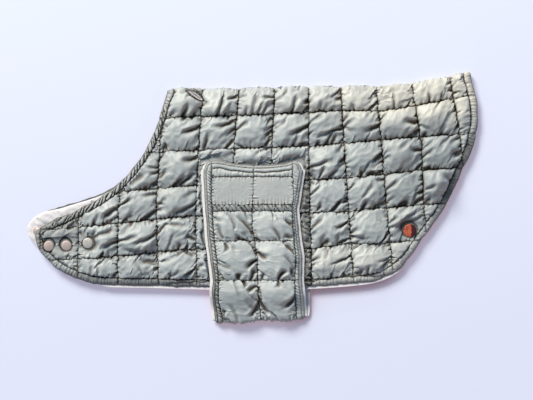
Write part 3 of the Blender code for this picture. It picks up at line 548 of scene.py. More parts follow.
def smoothstep(value, start, end):
    share = np.clip((value - start) / (end - start), 0, 1)
    return share * share * (3 - 2 * share)


def in_zone(zone, x, y):
    """How much of the zone's effect each place gets, from 0 to 1."""
    share = smoothstep(x, *zone.x) * smoothstep(y, *zone.y)
    return share if zone.y_end is None else share * (1 - smoothstep(y, *zone.y_end))


def tree_of(points):
    tree = KDTree(len(points))
    for k, (x, y) in enumerate(points):
        tree.insert((x, y, 0), k)
    tree.balance()
    return tree


def nearest(points, tree):
    """The distance of each point to the nearest in the tree, and that one's number."""
    found = [tree.find((x, y, 0)) for x, y in points]
    return np.array([f[2] for f in found]), np.array([f[1] for f in found])


def beside(points, lines):
    """How far each point is from the nearest line, how far along it, and whether on its right.

    The lines' runs are kept apart, so that each line has its own.
    """
    runs = np.concatenate([along(line) + 1000.0 * number for number, line in enumerate(lines)])
    rights = np.vstack([-left_of(line, closed=False) for line in lines])
    places = np.vstack(lines)
    away, found = nearest(points, tree_of(places))
    offset = points - places[found]
    right = rights[found]
    onward = offset[:, 1] * right[:, 0] - offset[:, 0] * right[:, 1]
    return away, runs[found] + onward, (offset * right).sum(1) > 0


def ripple(places, length, seed, turns=5):
    """Smooth noise from -1 to 1 over places of any dimension, with waves about length long."""
    places = np.atleast_2d(np.asarray(places, float))
    random = np.random.default_rng(seed)
    total = np.zeros(len(places))
    for _ in range(turns):
        way = random.normal(size=places.shape[1])
        way /= np.linalg.norm(way)
        wave = length * random.uniform(0.7, 1.5)
        total += np.sin(places @ way * 2 * math.pi / wave + random.uniform(0, 2 * math.pi))
    return total / turns * 1.4


def gathered(where, pitch, seed):
    """A row of small uneven folds along where: broad ridges at about 1, narrow valleys at about -1."""
    where = where[:, None]
    phase = where[:, 0] / pitch + 0.3 * ripple(where, 3.1 * pitch, seed)
    height = 0.85 + 0.25 * ripple(where, 6 * pitch, seed + 1)
    return (2 * np.abs(np.sin(math.pi * phase)) ** 0.8 - 1.2) * height


def crumpled(points, seed):
    """Fine wrinkles, from about -0.5 to 1.6: smooth ground crossed by sharp little ridges."""
    bent = points + 2.5 * np.column_stack([ripple(points, 17, seed + 2), ripple(points, 17, seed + 3)])
    x, t = bent.T
    slanting = np.column_stack([x + t, 0.55 * (t - x)])
    ridges = 1 - np.abs(ripple(slanting, CRUMPLE, seed)) * 2.4
    crossing = 1 - np.abs(ripple(points[:, ::-1], 1.4 * CRUMPLE, seed + 1)) * 2.8
    return np.clip(ridges, -0.3, 1) + 0.6 * np.clip(crossing, -0.3, 1)


# The folds ------------------------------------------------------------------------------------------------


class Fold:
    """A sheet folded over a half round.

    On the flat sheet x runs along the fold and t across it, from 0 at the crest to the upper layer's edge,
    and below 0 on the lower layer. h is the height above the sheet's outer face. faces is 1 when the crest is
    on the +Y side, and lift tells how far the upper layer is raised at a place.
    """

    def __init__(self, crest, radius, faces, lift):
        self.crest = smooth_curve(crest, 4.0)
        self.radius = radius
        self.faces = faces
        self.lift = lift
        self.quarter = radius * math.pi / 2

    def axis_y(self, x):
        return np.interp(x, self.crest[:, 0], self.crest[:, 1]) - self.faces * self.radius

    def t_of(self, x, y):
        """How far along the cloth a place on the upper layer lies from the crest."""
        return self.quarter + self.faces * (self.axis_y(x) - y)

    def y_of(self, x, t):
        return self.axis_y(x) - self.faces * (np.maximum(np.abs(t), self.quarter) - self.quarter)

    def flat(self, line, side=1):
        """A line on the upper layer, or with side -1 on the lower one, as it lies on the flat sheet."""
        return np.column_stack([line[:, 0], side * self.t_of(line[:, 0], line[:, 1])])

    def room(self, t):
        """How far the sheet may stand out at t without going below the floor."""
        angle = np.clip(-t / self.radius, 1e-3, math.pi / 2)
        return np.where(t < 0, self.radius * (1 / np.sin(angle) - 1), 1e3)

    def folded(self, flat, h):
        """The points of the flat sheet, folded over."""
        x, t = flat[:, 0], flat[:, 1]
        angle = np.clip(t / self.radius, -math.pi / 2, math.pi / 2)
        reach = self.radius + h
        straight = np.maximum(np.abs(t) - self.quarter, 0)
        y = self.axis_y(x) + self.faces * (reach * np.cos(angle) - straight)
        z = self.radius + reach * np.sin(angle)
        z += np.where(t > 0, self.lift(x, y) * smoothstep(t, 0, self.quarter), 0)
        return np.column_stack([x, y, z])


def coat_lift(x, y):
    return STUD_LIFT * smoothstep(x, STUD_LIFT_FROM, STUD_LIFT_FULL)


BAND_CLIMB = 2 * COAT_RADIUS + PRESSED_PUFF + SEAM_GAP - BAND_RADIUS - LINING_GAP / 2


def band_lift(x, y):
    return BAND_CLIMB * smoothstep(y, BAND_REACHES_FLOOR, BAND_LEAVES_COAT)


COAT_FOLD = Fold(SPINE, COAT_RADIUS, 1, coat_lift)
BAND_FOLDED = Fold(BAND_FOLD, BAND_RADIUS, -1, band_lift)


# Flat cuts ------------------------------------------------------------------------------------------------


def coat_cut(drawn_in, hem_out, step):
    """The coat's cut on the flat sheet, as a closed loop: near side above t = 0, far side below.

    A lining's cut is drawn in, but reaches past the shell along the near hem and at the far strap's tip.
    """
    left = smooth_curve(NECK_EDGE + LEFT_STRAP_EDGE + HEM_EDGE + TAIL_EDGE, 2.0)
    right = smooth_curve(NECK_EDGE + RIGHT_STRAP_EDGE + HEM_EDGE + TAIL_EDGE, 2.0)
    left = COAT_FOLD.flat(left)
    right = COAT_FOLD.flat(right, -1)
    loop = np.vstack([right[right[:, 1] < -COAT_FOLD.quarter], left[left[:, 1] > COAT_FOLD.quarter][::-1]])
    loop = respaced(loop, 2.0)
    y = COAT_FOLD.y_of(loop[:, 0], loop[:, 1])
    on_hem = in_zone(HEM_LINING, loop[:, 0], y) * (loop[:, 1] > 0)
    amount = drawn_in - (drawn_in + hem_out) * on_hem
    on_far_tip = smoothstep(loop[:, 0], -222, -244) * (loop[:, 1] < 0) * (drawn_in > 0)
    amount = amount - (drawn_in + FAR_TIP_SHOWS) * on_far_tip
    loop = loop + left_of(loop) * amount[:, None]
    return respaced(loop, step)


def band_edges(y):
    """The left and right sides of the band's shell at a height."""
    heights = [line.y for line in BAND_LINES[::-1]]
    left = np.interp(y, heights, [line.left for line in BAND_LINES[::-1]])
    right = np.interp(y, heights, [line.right for line in BAND_LINES[::-1]])
    return left + BAND_LINING_SHOWS, right - BAND_LINING_SHOWS


def past_band(x, y):
    """How far each place lies past the band's left side, and past its right side."""
    left, right = band_edges(np.clip(y, BAND_LINES[-1].y, BAND_TOP))
    return left - x, x - right


def band_sag(x):
    return BAND_SAG * np.clip(1 - ((x - BAND_SAG_AT) / 46) ** 2, 0, 1)


def band_cut(grow, top_drop, step):
    """The band's cut on the flat sheet, as a closed loop."""
    y = np.arange(BAND_FOLDED.axis_y(-40.0) + 3, BAND_TOP - BAND_CORNER, 3.0)
    left, right = band_edges(y)
    top_left, top_right = band_edges(BAND_TOP)
    corner = np.linspace(0, math.pi / 2, 7)
    turn = np.column_stack([1 - np.cos(corner), np.sin(corner) - 1]) * BAND_CORNER
    start = np.array([top_left - grow, BAND_TOP - top_drop])
    end = np.array([top_right + grow, BAND_TOP - top_drop])
    between = np.linspace(start[0] + BAND_CORNER, end[0] - BAND_CORNER, 15)[1:-1]
    upper = np.vstack(
        [
            np.column_stack([left - grow, y]),
            start + turn,
            np.column_stack([between, BAND_TOP - top_drop - band_sag(between)]),
            (end + turn * (-1, 1))[::-1],
            np.column_stack([right + grow, y])[::-1],
        ]
    )
    under_left = BAND_UNDER_LEFT + BAND_LINING_SHOWS - grow
    under_right = BAND_UNDER_RIGHT - BAND_LINING_SHOWS + grow
    under = np.array(
        [
            (under_right, BAND_REACHES_FLOOR),
            (under_right, BAND_UNDER_END),
            (under_left, BAND_UNDER_END),
            (under_left, BAND_REACHES_FLOOR),
        ]
    )
    loop = np.vstack([BAND_FOLDED.flat(upper), BAND_FOLDED.flat(under, -1)])[::-1]
    return respaced(loop, step)


# Cloth ------------------------------------------------------------------------------------------------


class Cloth:
    """A flat sheet of triangles that is pinned along its seams and relaxed over its wadding."""

    def __init__(self, fold, spacing, loop, hole=None):
        self.fold = fold
        self.spacing = spacing
        self.loop = loop
        self.hole = hole
        self.points = np.empty((0, 2))
        self.h = np.empty(0)
        self.pinned = np.empty(0, bool)
        # Painted shade, the share of the hollows' painted shade that is kept, and painted light, per point.
        self.dark = 0.0
        self.open = 1.0
        self.painted_light = 0.0
        self.add(loop, EDGE_DEPTH)
        if hole is not None:
            self.add(hole, SEAM_DEPTH)

    def add(self, points, h, clear=0.0, pinned=True):
        """Adds points that keep clear of the ones already there."""
        if clear and len(self.points):
            away, _ = nearest(points, tree_of(self.points))
            kept = away > clear
            points = points[kept]
            h = h[kept] if np.ndim(h) else h
        self.points = np.vstack([self.points, points])
        self.h = np.r_[self.h, np.broadcast_to(h, len(points))]
        self.pinned = np.r_[self.pinned, np.full(len(points), pinned)]

    def scatter(self, upper_from, ring=None):
        """Fills the sheet with points: coarse and pinned below upper_from, closest outside the ring."""
        random = np.random.default_rng(SEED)
        low, high = self.loop.min(0), self.loop.max(0)
        passes = [(self.spacing, upper_from, high[1]), (COARSE, low[1], upper_from - COARSE / 2)]
        if ring is not None:
            passes.insert(0, (CHANNEL_FINE, upper_from, high[1]))
        for step, start, stop in passes:
            rows = np.arange(start, stop, step * math.sqrt(3) / 2)
            columns = np.arange(low[0], high[0], step)
            x, t = np.meshgrid(columns, rows)
            x = x + (np.arange(len(rows)) % 2)[:, None] * step / 2
            points = np.column_stack([x.ravel(), t.ravel()])
            points += random.uniform(-0.12, 0.12, points.shape) * step
            points = points[inside(points, self.loop)]
            if step == CHANNEL_FINE:
                points = points[~inside(points, ring)]
            if self.hole is not None:
                points = points[~inside(points, self.hole)]
            self.add(points, 0.0, step * 0.55, pinned=start < upper_from)

    def triangulate(self):
        count = len(self.loop)
        edges = [(k, (k + 1) % count) for k in range(count)]
        if self.hole is not None:
            holes = len(self.hole)
            edges += [(count + k, count + (k + 1) % holes) for k in range(holes)]
        places = [Vector(p) for p in self.points]
        _, _, found, came_from, _, _ = delaunay_2d_cdt(places, edges, [], 1, 1e-5)
        self.triangles = np.array([[came_from[k][0] for k in triangle] for triangle in found])
        if self.hole is not None:
            middles = self.points[self.triangles].mean(1)
            self.triangles = self.triangles[~inside(middles, self.hole)]
        self.settled = self.points.copy()

    def puckers(self, seed):
        """How high the small puckers stand that the seams draw the cloth into, from about -1 to 1."""
        away, run, on_right = beside(self.points, self.seams)
        where = (run + np.where(on_right, 300.0, 0.0))[:, None]
        reach = PUCKER_REACH * (1 + 0.5 * ripple(where, 2.4 * PUCKER, seed + 1))
        wave = 0.7 * ripple(where, 0.9 * PUCKER, seed, 4) + 0.6 * ripple(where, 1.9 * PUCKER, seed + 2, 4)
        wave *= 0.75 + 0.5 * ripple(where, 4.5 * PUCKER, seed + 3)
        return wave * smoothstep(away, 0.2, 1.6) * np.exp(-((away / reach) ** 2))

    def links(self):
        """Each point's neighbours along the triangles' sides, as rows padded with the point itself."""
        sides = np.vstack([self.triangles[:, [0, 1]], self.triangles[:, [1, 2]], self.triangles[:, [2, 0]]])
        sides = np.unique(np.sort(sides, axis=1), axis=0)
        both = np.vstack([sides, sides[:, ::-1]])
        both = both[np.argsort(both[:, 0], kind="stable")]
        counts = np.bincount(both[:, 0], minlength=len(self.points))
        place = np.arange(len(both)) - np.repeat(np.cumsum(counts) - counts, counts)
        table = np.tile(np.arange(len(self.points))[:, None], (1, counts.max()))
        table[both[:, 0], place] = both[:, 1]
        weight = (np.arange(counts.max())[None] < counts[:, None]) / counts[:, None]
        return table, weight.astype(np.float32)

    def hollows(self):
        """How deep each point lies below the cloth about it, from 0 to 1: how much painted shade it gets."""
        table, weight = self.links()
        about = self.h
        total = np.zeros(len(self.h))
        passes = 0
        for reach, depth, share in HOLLOW_SHADING:
            while passes < (reach / self.spacing) ** 2:
                about = (about[table] * weight).sum(1)
                passes += 1
            total += share * np.clip((about - self.h - 0.05) / depth, 0, 1)
        return np.clip(total, 0, 1)

    def start_from(self, coarse, soften):
        """Takes over the shape of a coarser sheet."""
        flat = np.column_stack([coarse.points, np.zeros(len(coarse.points))])
        tree = BVHTree.FromPolygons(flat.tolist(), coarse.triangles.tolist())
        moved = np.column_stack([coarse.settled - coarse.points, coarse.h])
        gained = np.zeros((len(self.points), 3))
        for k in np.flatnonzero(~self.pinned):
            place, _, number, _ = tree.find_nearest((*self.points[k], 0.0))
            a, b, c = coarse.triangles[number]
            to_b, to_c = coarse.points[b] - coarse.points[a], coarse.points[c] - coarse.points[a]
            to_place = np.array(place[:2]) - coarse.points[a]
            area = np.cross(to_b, to_c)
            share_b = np.cross(to_place, to_c) / area
            share_c = np.cross(to_b, to_place) / area
            gained[k] = (1 - share_b - share_c) * moved[a] + share_b * moved[b] + share_c * moved[c]
        gained[self.pinned, 2] = self.h[self.pinned]
        table, weight = self.links()
        free = ~self.pinned[:, None]
        for _ in range(soften):
            gained = np.where(free, (gained[table] * weight[:, :, None]).sum(1), gained)
        self.settled = self.points + gained[:, :2]
        self.h = gained[:, 2]

    def relax(self, target, stretch, steps, soft, hold=0.1):
        """Lets the cloth, cut longer than its place by stretch, settle over wadding as high as target.

        stretch is a 2 by 2 form for each point: how much longer than its place the cloth is each way.
        """
        table, weight = self.links()
        span = self.points[table] - self.points[:, None]
        length = np.linalg.norm(span, axis=2)
        longer = (stretch[:, None] + stretch[table]) / 2
        along_span = np.einsum("nki,nkij,nkj->nk", span, longer, span) / np.maximum(length, 1e-6) ** 2
        rest = (length * (1 + along_span)).astype(np.float32)
        now = np.column_stack([self.settled, self.h]).astype(np.float32)
        before = now.copy()
        target = target.astype(np.float32)
        move = (~self.pinned[:, None]).astype(np.float32)
        for _ in range(steps):
            speed = (now - before) * 0.88
            before = now.copy()
            speed[:, 2] += np.where(now[:, 2] < target, hold, hold * 0.3) * (target - now[:, 2])
            now = now + speed * move
            for _ in range(2):
                away = now[table] - now[:, None]
                far = np.sqrt((away**2).sum(2)) + 1e-6
                pull = (far - rest) / far * weight
                now = now + 0.9 * move * (pull[:, :, None] * away).sum(1)
            mean = (now[table][:, :, 2] * weight).sum(1)
            now[:, 2] += soft * move[:, 0] * (mean - now[:, 2])
            ceiling = self.fold.room(now[:, 1]).astype(np.float32) - 0.2
            now[:, 2] = np.where(now[:, 1] < 0, np.minimum(now[:, 2], ceiling), now[:, 2])
        self.settled = now[:, :2].astype(float)
        self.h = now[:, 2].astype(float)


# Quilting ------------------------------------------------------------------------------------------------


def stitch_depth(run):
    """How deep a seam lies along its run: it dips at each stitch hole."""
    return SEAM_DEPTH - 0.25 * (0.5 + 0.5 * np.cos(run / STITCH_PITCH * 2 * math.pi))


def pillow(share):
    within = share - np.floor(share)
    return np.sqrt(np.clip(4 * within * (1 - within), 0, 1))


def skewed_pillow(share, power):
    """A pillow whose top is nearer its start where power is below 1."""
    within = (share - np.floor(share)) ** power
    return np.sqrt(np.clip(4 * within * (1 - within), 0, 1))


def turned(angle, amount):
    """A form that lengthens cloth across creases that run at an angle, in degrees from +X."""
    across = np.radians(angle + 90)
    way = np.stack([np.cos(across), np.sin(across)], -1)
    return amount[:, None, None] * way[:, :, None] * way[:, None, :]


Crease = namedtuple("Crease", "start end depth width bend")


def crease_depth(points, creases):
    """How deep the creases lie at each point.

    Each is a curved trough with a lip on both sides, steeper on the side of smaller x and t.
    """
    total = np.zeros(len(points))
    lips = np.zeros(len(points))
    for crease in creases:
        reach = crease.end - crease.start
        length = np.hypot(*reach)
        ahead = reach / length
        side = np.array([-ahead[1], ahead[0]])
        middle = (crease.start + crease.end) / 2
        near = np.flatnonzero(((points - middle) ** 2).sum(1) < (length / 2 + 9) ** 2)
        offset = points[near] - crease.start
        s = offset @ ahead / length
        off = offset @ side - crease.bend * 4 * s * (1 - s)
        steep = np.sign(side.sum()) * off < 0
        width = crease.width * (0.65 + 0.7 * np.clip(s, 0, 1)) * np.where(steep, 0.75, 1.25)
        fade = smoothstep(s, -0.12, 0.05) * (1 - smoothstep(s, 0.45, 1.05))
        total[near] = np.maximum(total[near], crease.depth * np.exp(-((off / width) ** 2)) * fade)
        lip = np.exp(-(((np.abs(off) - 2.1 * width) / (1.1 * width)) ** 2))
        lips[near] = np.maximum(lips[near], LIP * crease.depth * lip * fade)
    return total - lips * np.exp(-((total / 0.8) ** 2))


def laid_flat(tucks, fold, narrow):
    """The tucks as creases of the flat sheet."""
    creases = []
    for tuck in tucks:
        start, end = fold.flat(np.array([(tuck.x, tuck.y), (tuck.to_x, tuck.to_y)]))
        creases.append(Crease(start, end, tuck.depth * TUCK_SCALE * narrow, tuck.width * narrow, tuck.bend))
    return creases


def cell_creases(random, middle, size, lean):
    """Creases for one cell, from its seams inwards, turned towards an angle of about lean degrees."""
    creases = []
    lean = math.radians(lean + random.uniform(-20, 20))
    half = size / 2 - 1
    for _ in range(random.integers(3, 6)):
        side = random.choice(4, p=(0.34, 0.22, 0.22, 0.22))
        share = random.uniform(-0.85, 0.85)
        start = ((share, 1), (share, -1), (1, share), (-1, share))[side] * half
        inwards = math.atan2(-start[1], -start[0])
        turn = math.remainder(lean - inwards, math.pi)
        way = inwards + turn * random.uniform(0.45, 0.95)
        reach = random.uniform(0.28, 0.62) * size.mean()
        end = start + (math.cos(way) * reach, math.sin(way) * reach)
        depth, width, bend = random.uniform((1.0, 1.6, -1.5), (2.4, 2.6, 1.5))
        creases.append(Crease(middle + start, middle + end, depth, width, bend))
    return creases


class Quilt:
    """A quilted cloth. Each kind tells its cut, its seams and its wadding."""

    def make(self):
        coarse = self.lay_out(FOLD_SPACING)
        target, stretch = self.wadding(coarse)
        coarse.h = np.where(coarse.pinned, coarse.h, target)
        coarse.relax(target, stretch, 60, 0.0)
        fine = self.lay_out(self.fine)
        target, stretch = self.wadding(fine)
        fine.start_from(coarse, 3)
        fine.relax(target, stretch, 90, 0.004, 0.14)
        fine.h += np.where(fine.pinned, 0, self.gathers(fine))
        fine.h = np.minimum(fine.h, self.fold.room(fine.settled[:, 1]) - 0.2)
        self.shade(fine)
        return fine

    def lay_out(self, spacing):
        """The cut with its seams, as a flat sheet of points about spacing apart."""
        cut = self.cut(spacing * 1.1)
        edge = cut - left_of(cut) * self.edge_waves(cut)[:, None]
        cloth = Cloth(self.fold, spacing, edge, self.hole())
        step = STITCH_PITCH / 2 if spacing < 3 else spacing
        cloth.seams = []
        for line in self.lines(cut, step):
            if len(line) > 2:
                cloth.add(line, stitch_depth(along(line)), spacing * 0.5)
                cloth.seams.append(line)
        cloth.scatter(-self.fold.quarter, cloth.seams[0] if spacing == FINE else None)
        cloth.triangulate()
        cloth.seam_away, _ = nearest(cloth.points, tree_of(np.vstack(cloth.seams)))
        cloth.edge_away, cloth.edge_run, _ = beside(cloth.points, [edge])
        return cloth

    def hole(self):
        return None


def slit(grown, count):
    """The leash slit on the flat sheet, grown outwards."""
    turns = np.linspace(0, 2 * math.pi, count, endpoint=False)
    along_it = (SLIT_LENGTH / 2 + grown) * np.cos(turns)
    across_it = (SLIT_WIDTH / 2 + grown) * np.sin(turns)
    lean_x, lean_t = math.cos(SLIT_LEAN), math.sin(SLIT_LEAN)
    x = SLIT_MIDDLE + along_it * lean_x - across_it * lean_t
    return np.column_stack([x, SLIT_ALONG + along_it * lean_t + across_it * lean_x])


class CoatQuilt(Quilt):
    fold = COAT_FOLD
    fine = FINE

    def __init__(self):
        random = np.random.default_rng(SEED)
        self.chance = random.uniform(-1, 1, (4, CELL_COLUMNS, 10))
        self.creases = laid_flat(COAT_TUCKS, COAT_FOLD, 0.86)
        for i in range(CELL_COLUMNS):
            for j in range(len(LENGTH_SEAMS)):
                x, t = (i - 5.5) * CELL_LENGTH, (j + 0.5) * CELL_DEPTH
                for _ in range(5):
                    across = self.cross_x(np.array([t]))[i : i + 2]
                    down = self.length_t(np.array([x]))[j : j + 2]
                    x, t = across.mean(), down.mean()
                size = np.array([np.ptp(across), np.ptp(down)])
                self.creases += cell_creases(random, np.array([x, t]), size, COAT_LEAN)

    def cross_x(self, t):
        """The place of every cross seam, a row each, at each t."""
        y = COAT_FOLD.y_of(0.0, t)
        return np.array([np.interp(y, CROSS_SEAM_Y[::-1], seam[::-1]) for seam in CROSS_SEAMS])

    def length_t(self, x):
        """The place of every lengthwise seam from the crest down, a row each, at each x."""
        y = np.array([np.interp(x, LENGTH_SEAM_X, seam) for seam in LENGTH_SEAMS])
        return np.vstack([np.zeros((1, len(x))), COAT_FOLD.t_of(x, y)])

    def numbers(self, points):
        """The number of the cell that each point is in, along and across, with the share inside it."""
        across = self.cross_x(points[:, 1])
        down = self.length_t(points[:, 0])
        u = sum(np.clip((points[:, 0] - a) / (b - a), 0, 1) for a, b in zip(across, across[1:]))
        v = sum(np.clip((np.abs(points[:, 1]) - a) / (b - a), 0, 1) for a, b in zip(down, down[1:]))
        return u, v

    def cut(self, step):
        return coat_cut(0.0, 0.0, step)

    def edge_waves(self, cut):
        """The edge draws in a little at each seam, and wanders between."""
        u, v = self.numbers(cut)
        draw = 0.5 * (pillow(u) + pillow(v)) - 0.6
        return 1.1 * draw + 0.7 * ripple(cut, 21, 3) + 0.35 * ripple(cut, 8, 4)

    def hole(self):
        return slit(0.0, 30)

    def ring(self, cut, step):
        """The topstitching inside the edge, as a closed loop. It runs closer to the edge round the neck."""
        on_neck = in_zone(NECK_STITCHING, cut[:, 0], COAT_FOLD.y_of(*cut.T))
        width = CHANNEL - (CHANNEL - NECK_CHANNEL) * on_neck
        ring = cut + left_of(cut) * width[:, None]
        ring = respaced(ring, step)
        return ring + left_of(ring) * 0.25 * ripple(ring, 13, 5)[:, None]

    def lines(self, cut, step):
        ring = self.ring(cut, step)
        lines = [ring, slit(SLIT_HEM, 34)]
        hem = cut + left_of(cut) * 1.6
        low, high = -COAT_FOLD.quarter - 2, 260
        t = np.arange(low, high, 1.0)
        for number, x in enumerate(self.cross_x(t)):
            line = spaced(np.column_stack([x, t]), step)
            line[:, 0] += 0.85 * ripple(line[:, 1:] + 100 * number, 16, 7) * smoothstep(line[:, 1], 0, 12)
            lines.append(line[inside(line, hem)])
        x = np.arange(-262.0, 264.0, 1.0)
        for number, t in enumerate(self.length_t(x)):
            for side in (1, -1) if number else (1,):
                line = spaced(np.column_stack([x, side * t]), step)
                line[:, 1] += 0.85 * ripple(line[:, :1] + 100 * number, 16, 8) * (number > 0)
                lines.append(line[(line[:, 1] > low) & inside(line, hem)])
        return lines

    def wadding(self, cloth):
        """How high the wadding stands, and how much longer than its place the cloth is cut."""
        points = cloth.points
        u, v = self.numbers(points)
        column = np.minimum(u.astype(int), CELL_COLUMNS - 1)
        height, tilt_u, tilt_v, turn = self.chance[:, column, v.astype(int)]
        lean = 1 + 0.15 * height + 0.5 * tilt_u * (u % 1 - 0.5) + 0.5 * tilt_v * (v % 1 - 0.5)
        ring = cloth.seams[0]
        ring_away, _ = nearest(points, tree_of(ring))
        in_channel = ~inside(points, ring)
        cloth.in_channel = in_channel
        to_right = smoothstep(points[:, 0], 110, 200)
        tail_top = smoothstep(points[:, 0], 60, 170) * (v < 1)
        full = skewed_pillow(u, 0.9 - 0.15 * to_right)
        full = full * skewed_pillow(v, np.where(v < 1, 1.4, np.where(v > 4, 1.1, 0.85)) - 0.15 * to_right)
        puff = PUFF * lean * (0.25 * full**0.8 + 0.75 * full**2) * np.sqrt(np.clip(ring_away / 13, 0, 1))
        puff *= 1 + 0.25 * to_right * (v > 1) - 0.3 * tail_top - 0.25 * (v > 5)
        puff += 0.9 * ripple(points, 21, 52) * np.clip(puff / 4, 0, 1)
        puff += CRUMPLE_HEIGHT * crumpled(points, 53) * np.clip(puff / 3, 0, 1)
        deeper = 1 - 0.4 * tail_top
        puff -= np.minimum(crease_depth(points, self.creases) * deeper, 0.75 * puff + 0.2)
        if cloth.spacing < 3:
            puff += PUCKER_HEIGHT * cloth.puckers(61)
        drop = EDGE_DEPTH * (1 - smoothstep(cloth.edge_away, 0, 7)) ** 1.4
        rounded = np.sqrt(np.clip(cloth.edge_away / 3, 0, 1) * np.clip(cloth.seam_away / 3, 0, 1))
        on_rump = self.on_rump(points)
        drop += on_rump * (EDGE_DEPTH * np.clip(1 - cloth.edge_away / 7, 0, 1) - drop)
        channel = drop + CHANNEL_PUFF * (1 - 0.8 * on_rump) * rounded
        if cloth.spacing < 3:
            channel += 1.2 * cloth.puckers(81)
        target = np.where(in_channel, channel, puff) * self.pressed(points)
        angle = COAT_LEAN + 17 * turn + 8 * ripple(points, 60, 11)
        stretch = turned(angle, np.full(len(points), CREASE_EXCESS))
        near_seam = np.exp(-((cloth.seam_away / 5) ** 2))
        stretch += np.eye(2)[None] * (PUFF_EXCESS + SEAM_EXCESS * near_seam)[:, None, None]
        stretch[in_channel] = np.eye(2) * 0.12
        return target, stretch

    def on_rump(self, points):
        """The part of the tail's edge that falls away to the lower right."""
        return in_zone(RUMP, points[:, 0], COAT_FOLD.y_of(*points.T))

    def gathers(self, cloth):
        """The drag wrinkles of the topstitched channel, slanted round the neck, and those beside the band."""
        x, t = cloth.points.T
        y = COAT_FOLD.y_of(x, t)
        on_neck = in_zone(NECK_ROPE, x, y)
        straight = gathered(cloth.edge_run + 0.1 * cloth.edge_away, ROPE_PITCH, 82)
        slanted = gathered(cloth.edge_run + 1.4 * cloth.edge_away, NECK_PITCH, 86)
        wave = (straight + (slanted - straight) * on_neck) * (0.28 + 0.72 * on_neck)
        wave *= 1 + 0.9 * ripple(cloth.edge_run[:, None], 17, 83) * (1 - on_neck)
        within = cloth.in_channel * smoothstep(cloth.edge_away, 0.3, 2.0)
        within = within * smoothstep(cloth.seam_away, 0, 1.2)
        # dips places painted shade in the neck rope's valleys.
        cloth.dips = np.clip(0.15 - 1.4 * wave, 0, 1) * on_neck * within
        total = ROPE_HEIGHT * wave * within
        past = np.maximum(*past_band(x, y))
        strip = smoothstep(past, 1, 4) * (1 - smoothstep(past, 12, 17)) * (y < BAND_TOP - 8) * (t > 0)
        strip *= np.where(x > 0, 1, 0.4)
        wave = gathered(y + 0.3 * x, BESIDE_BAND_GATHER.pitch, 84)
        return total + BESIDE_BAND_GATHER.height * wave * strip * smoothstep(cloth.seam_away, 0, 1.2)

    def shade(self, cloth):
        """Paints shade and light into the nylon by its place on the coat.

        The channel is darker for its many layers and by painted shade. Painted shade also lies on the neck's
        gathers, the foot of each disc, the strap's tip, the strip right of the band, one side of the slit
        and, a little, on the body's right and below the neck. Painted light lies on the top row, most towards
        the tail, the lower right and the slit's other side.
        """
        x, t = cloth.points.T
        y = COAT_FOLD.y_of(x, t)
        # The channel is darker for its many layers and, most on the rump, at the lower left and the near
        # strap,
        # by painted shade where it falls away from the light; the neck rope's valleys get painted shade too.
        layers = 0.05 + 0.2 * in_zone(NEAR_STRAP, x, y) + 0.75 * self.on_rump(cloth.points)
        layers = layers + 0.55 * in_zone(LOWER_LEFT, x, y)
        cloth.dark = layers * cloth.in_channel + 2.6 * cloth.dips
        # Painted shade, a little, on the body's right and below the neck.
        shaded_zones = in_zone(BODY_RIGHT, x, y) + in_zone(BELOW_NECK, x, y)
        cloth.dark += 0.14 * shaded_zones * ~cloth.in_channel
        # Painted shade beside the channel's topstitching.
        ring_away, _ = nearest(cloth.points, tree_of(cloth.seams[0]))
        cloth.dark += 0.5 * np.exp(-((ring_away / 1.5) ** 2))
        # Painted shade on the strap's tip.
        cloth.dark += 0.4 * in_zone(STRAP_TIP, x, y) * (t > 0)
        # Painted light on the top row, most towards the tail, on the lower right and on the channel at the
        # back.
        cloth.painted_light = 0.3 * smoothstep(y, 88, 100) + 0.95 * in_zone(BACK_RIGHT, x, y)
        cloth.painted_light += 0.4 * in_zone(LOWER_RIGHT, x, y)
        cloth.painted_light += 0.5 * cloth.in_channel * (0.3 + smoothstep(y, 85, 115)) * smoothstep(x, 40, 90)
        # A painted highlight on one lip of the slit, and painted shade on its other side.
        slit_away, _ = nearest(cloth.points, tree_of(slit(0.0, 60)))
        across_slit = (x - SLIT_MIDDLE) * math.sin(SLIT_LEAN) - (t - SLIT_ALONG) * math.cos(SLIT_LEAN)
        lit_lip = np.exp(-((slit_away / 2.6) ** 2)) * (across_slit < 0)
        cloth.dark -= 1.2 * lit_lip
        cloth.painted_light += 0.9 * lit_lip
        cloth.dark += 0.5 * (1 - smoothstep(slit_away, 4, 7)) * (across_slit > 0)
        # Painted shade in a ring round the foot of each disc.
        for disc, radius in DISCS:
            away = np.hypot(x - disc.x, y - disc.y)
            cloth.dark += 1.3 * np.exp(-(((away - radius - 0.3) / 1.0) ** 2)) * (t > 0)
        # Painted shade on the strip right of the band.
        _, past = past_band(x, y)
        strip = smoothstep(past, -1, 1) * (1 - smoothstep(past, 11, 16)) * (y < BAND_TOP - 6) * (t > 0)
        cloth.dark += 0.8 * strip

    def pressed(self, points):
        """How much of its height the cloth keeps under the band, and round the snaps and the rivet."""
        x, t = points[:, 0], points[:, 1]
        y = COAT_FOLD.y_of(x, t)
        beside_band = smoothstep(np.maximum(*past_band(x, y)), 3.0, 6.2)
        above_band = smoothstep(y - BAND_TOP + band_sag(x), -1.2, 12)
        kept = PRESSED_PUFF / PUFF / 1.3
        share = kept + (1 - kept) * np.maximum(beside_band, above_band)
        share = np.where(t > COAT_FOLD.quarter, share, 1)
        for disc, radius in DISCS:
            away = np.hypot(x - disc.x, y - disc.y)
            share = share * np.where(t > 0, 0.1 + 0.9 * smoothstep(away, radius - 1, radius + 12), 1)
        return share


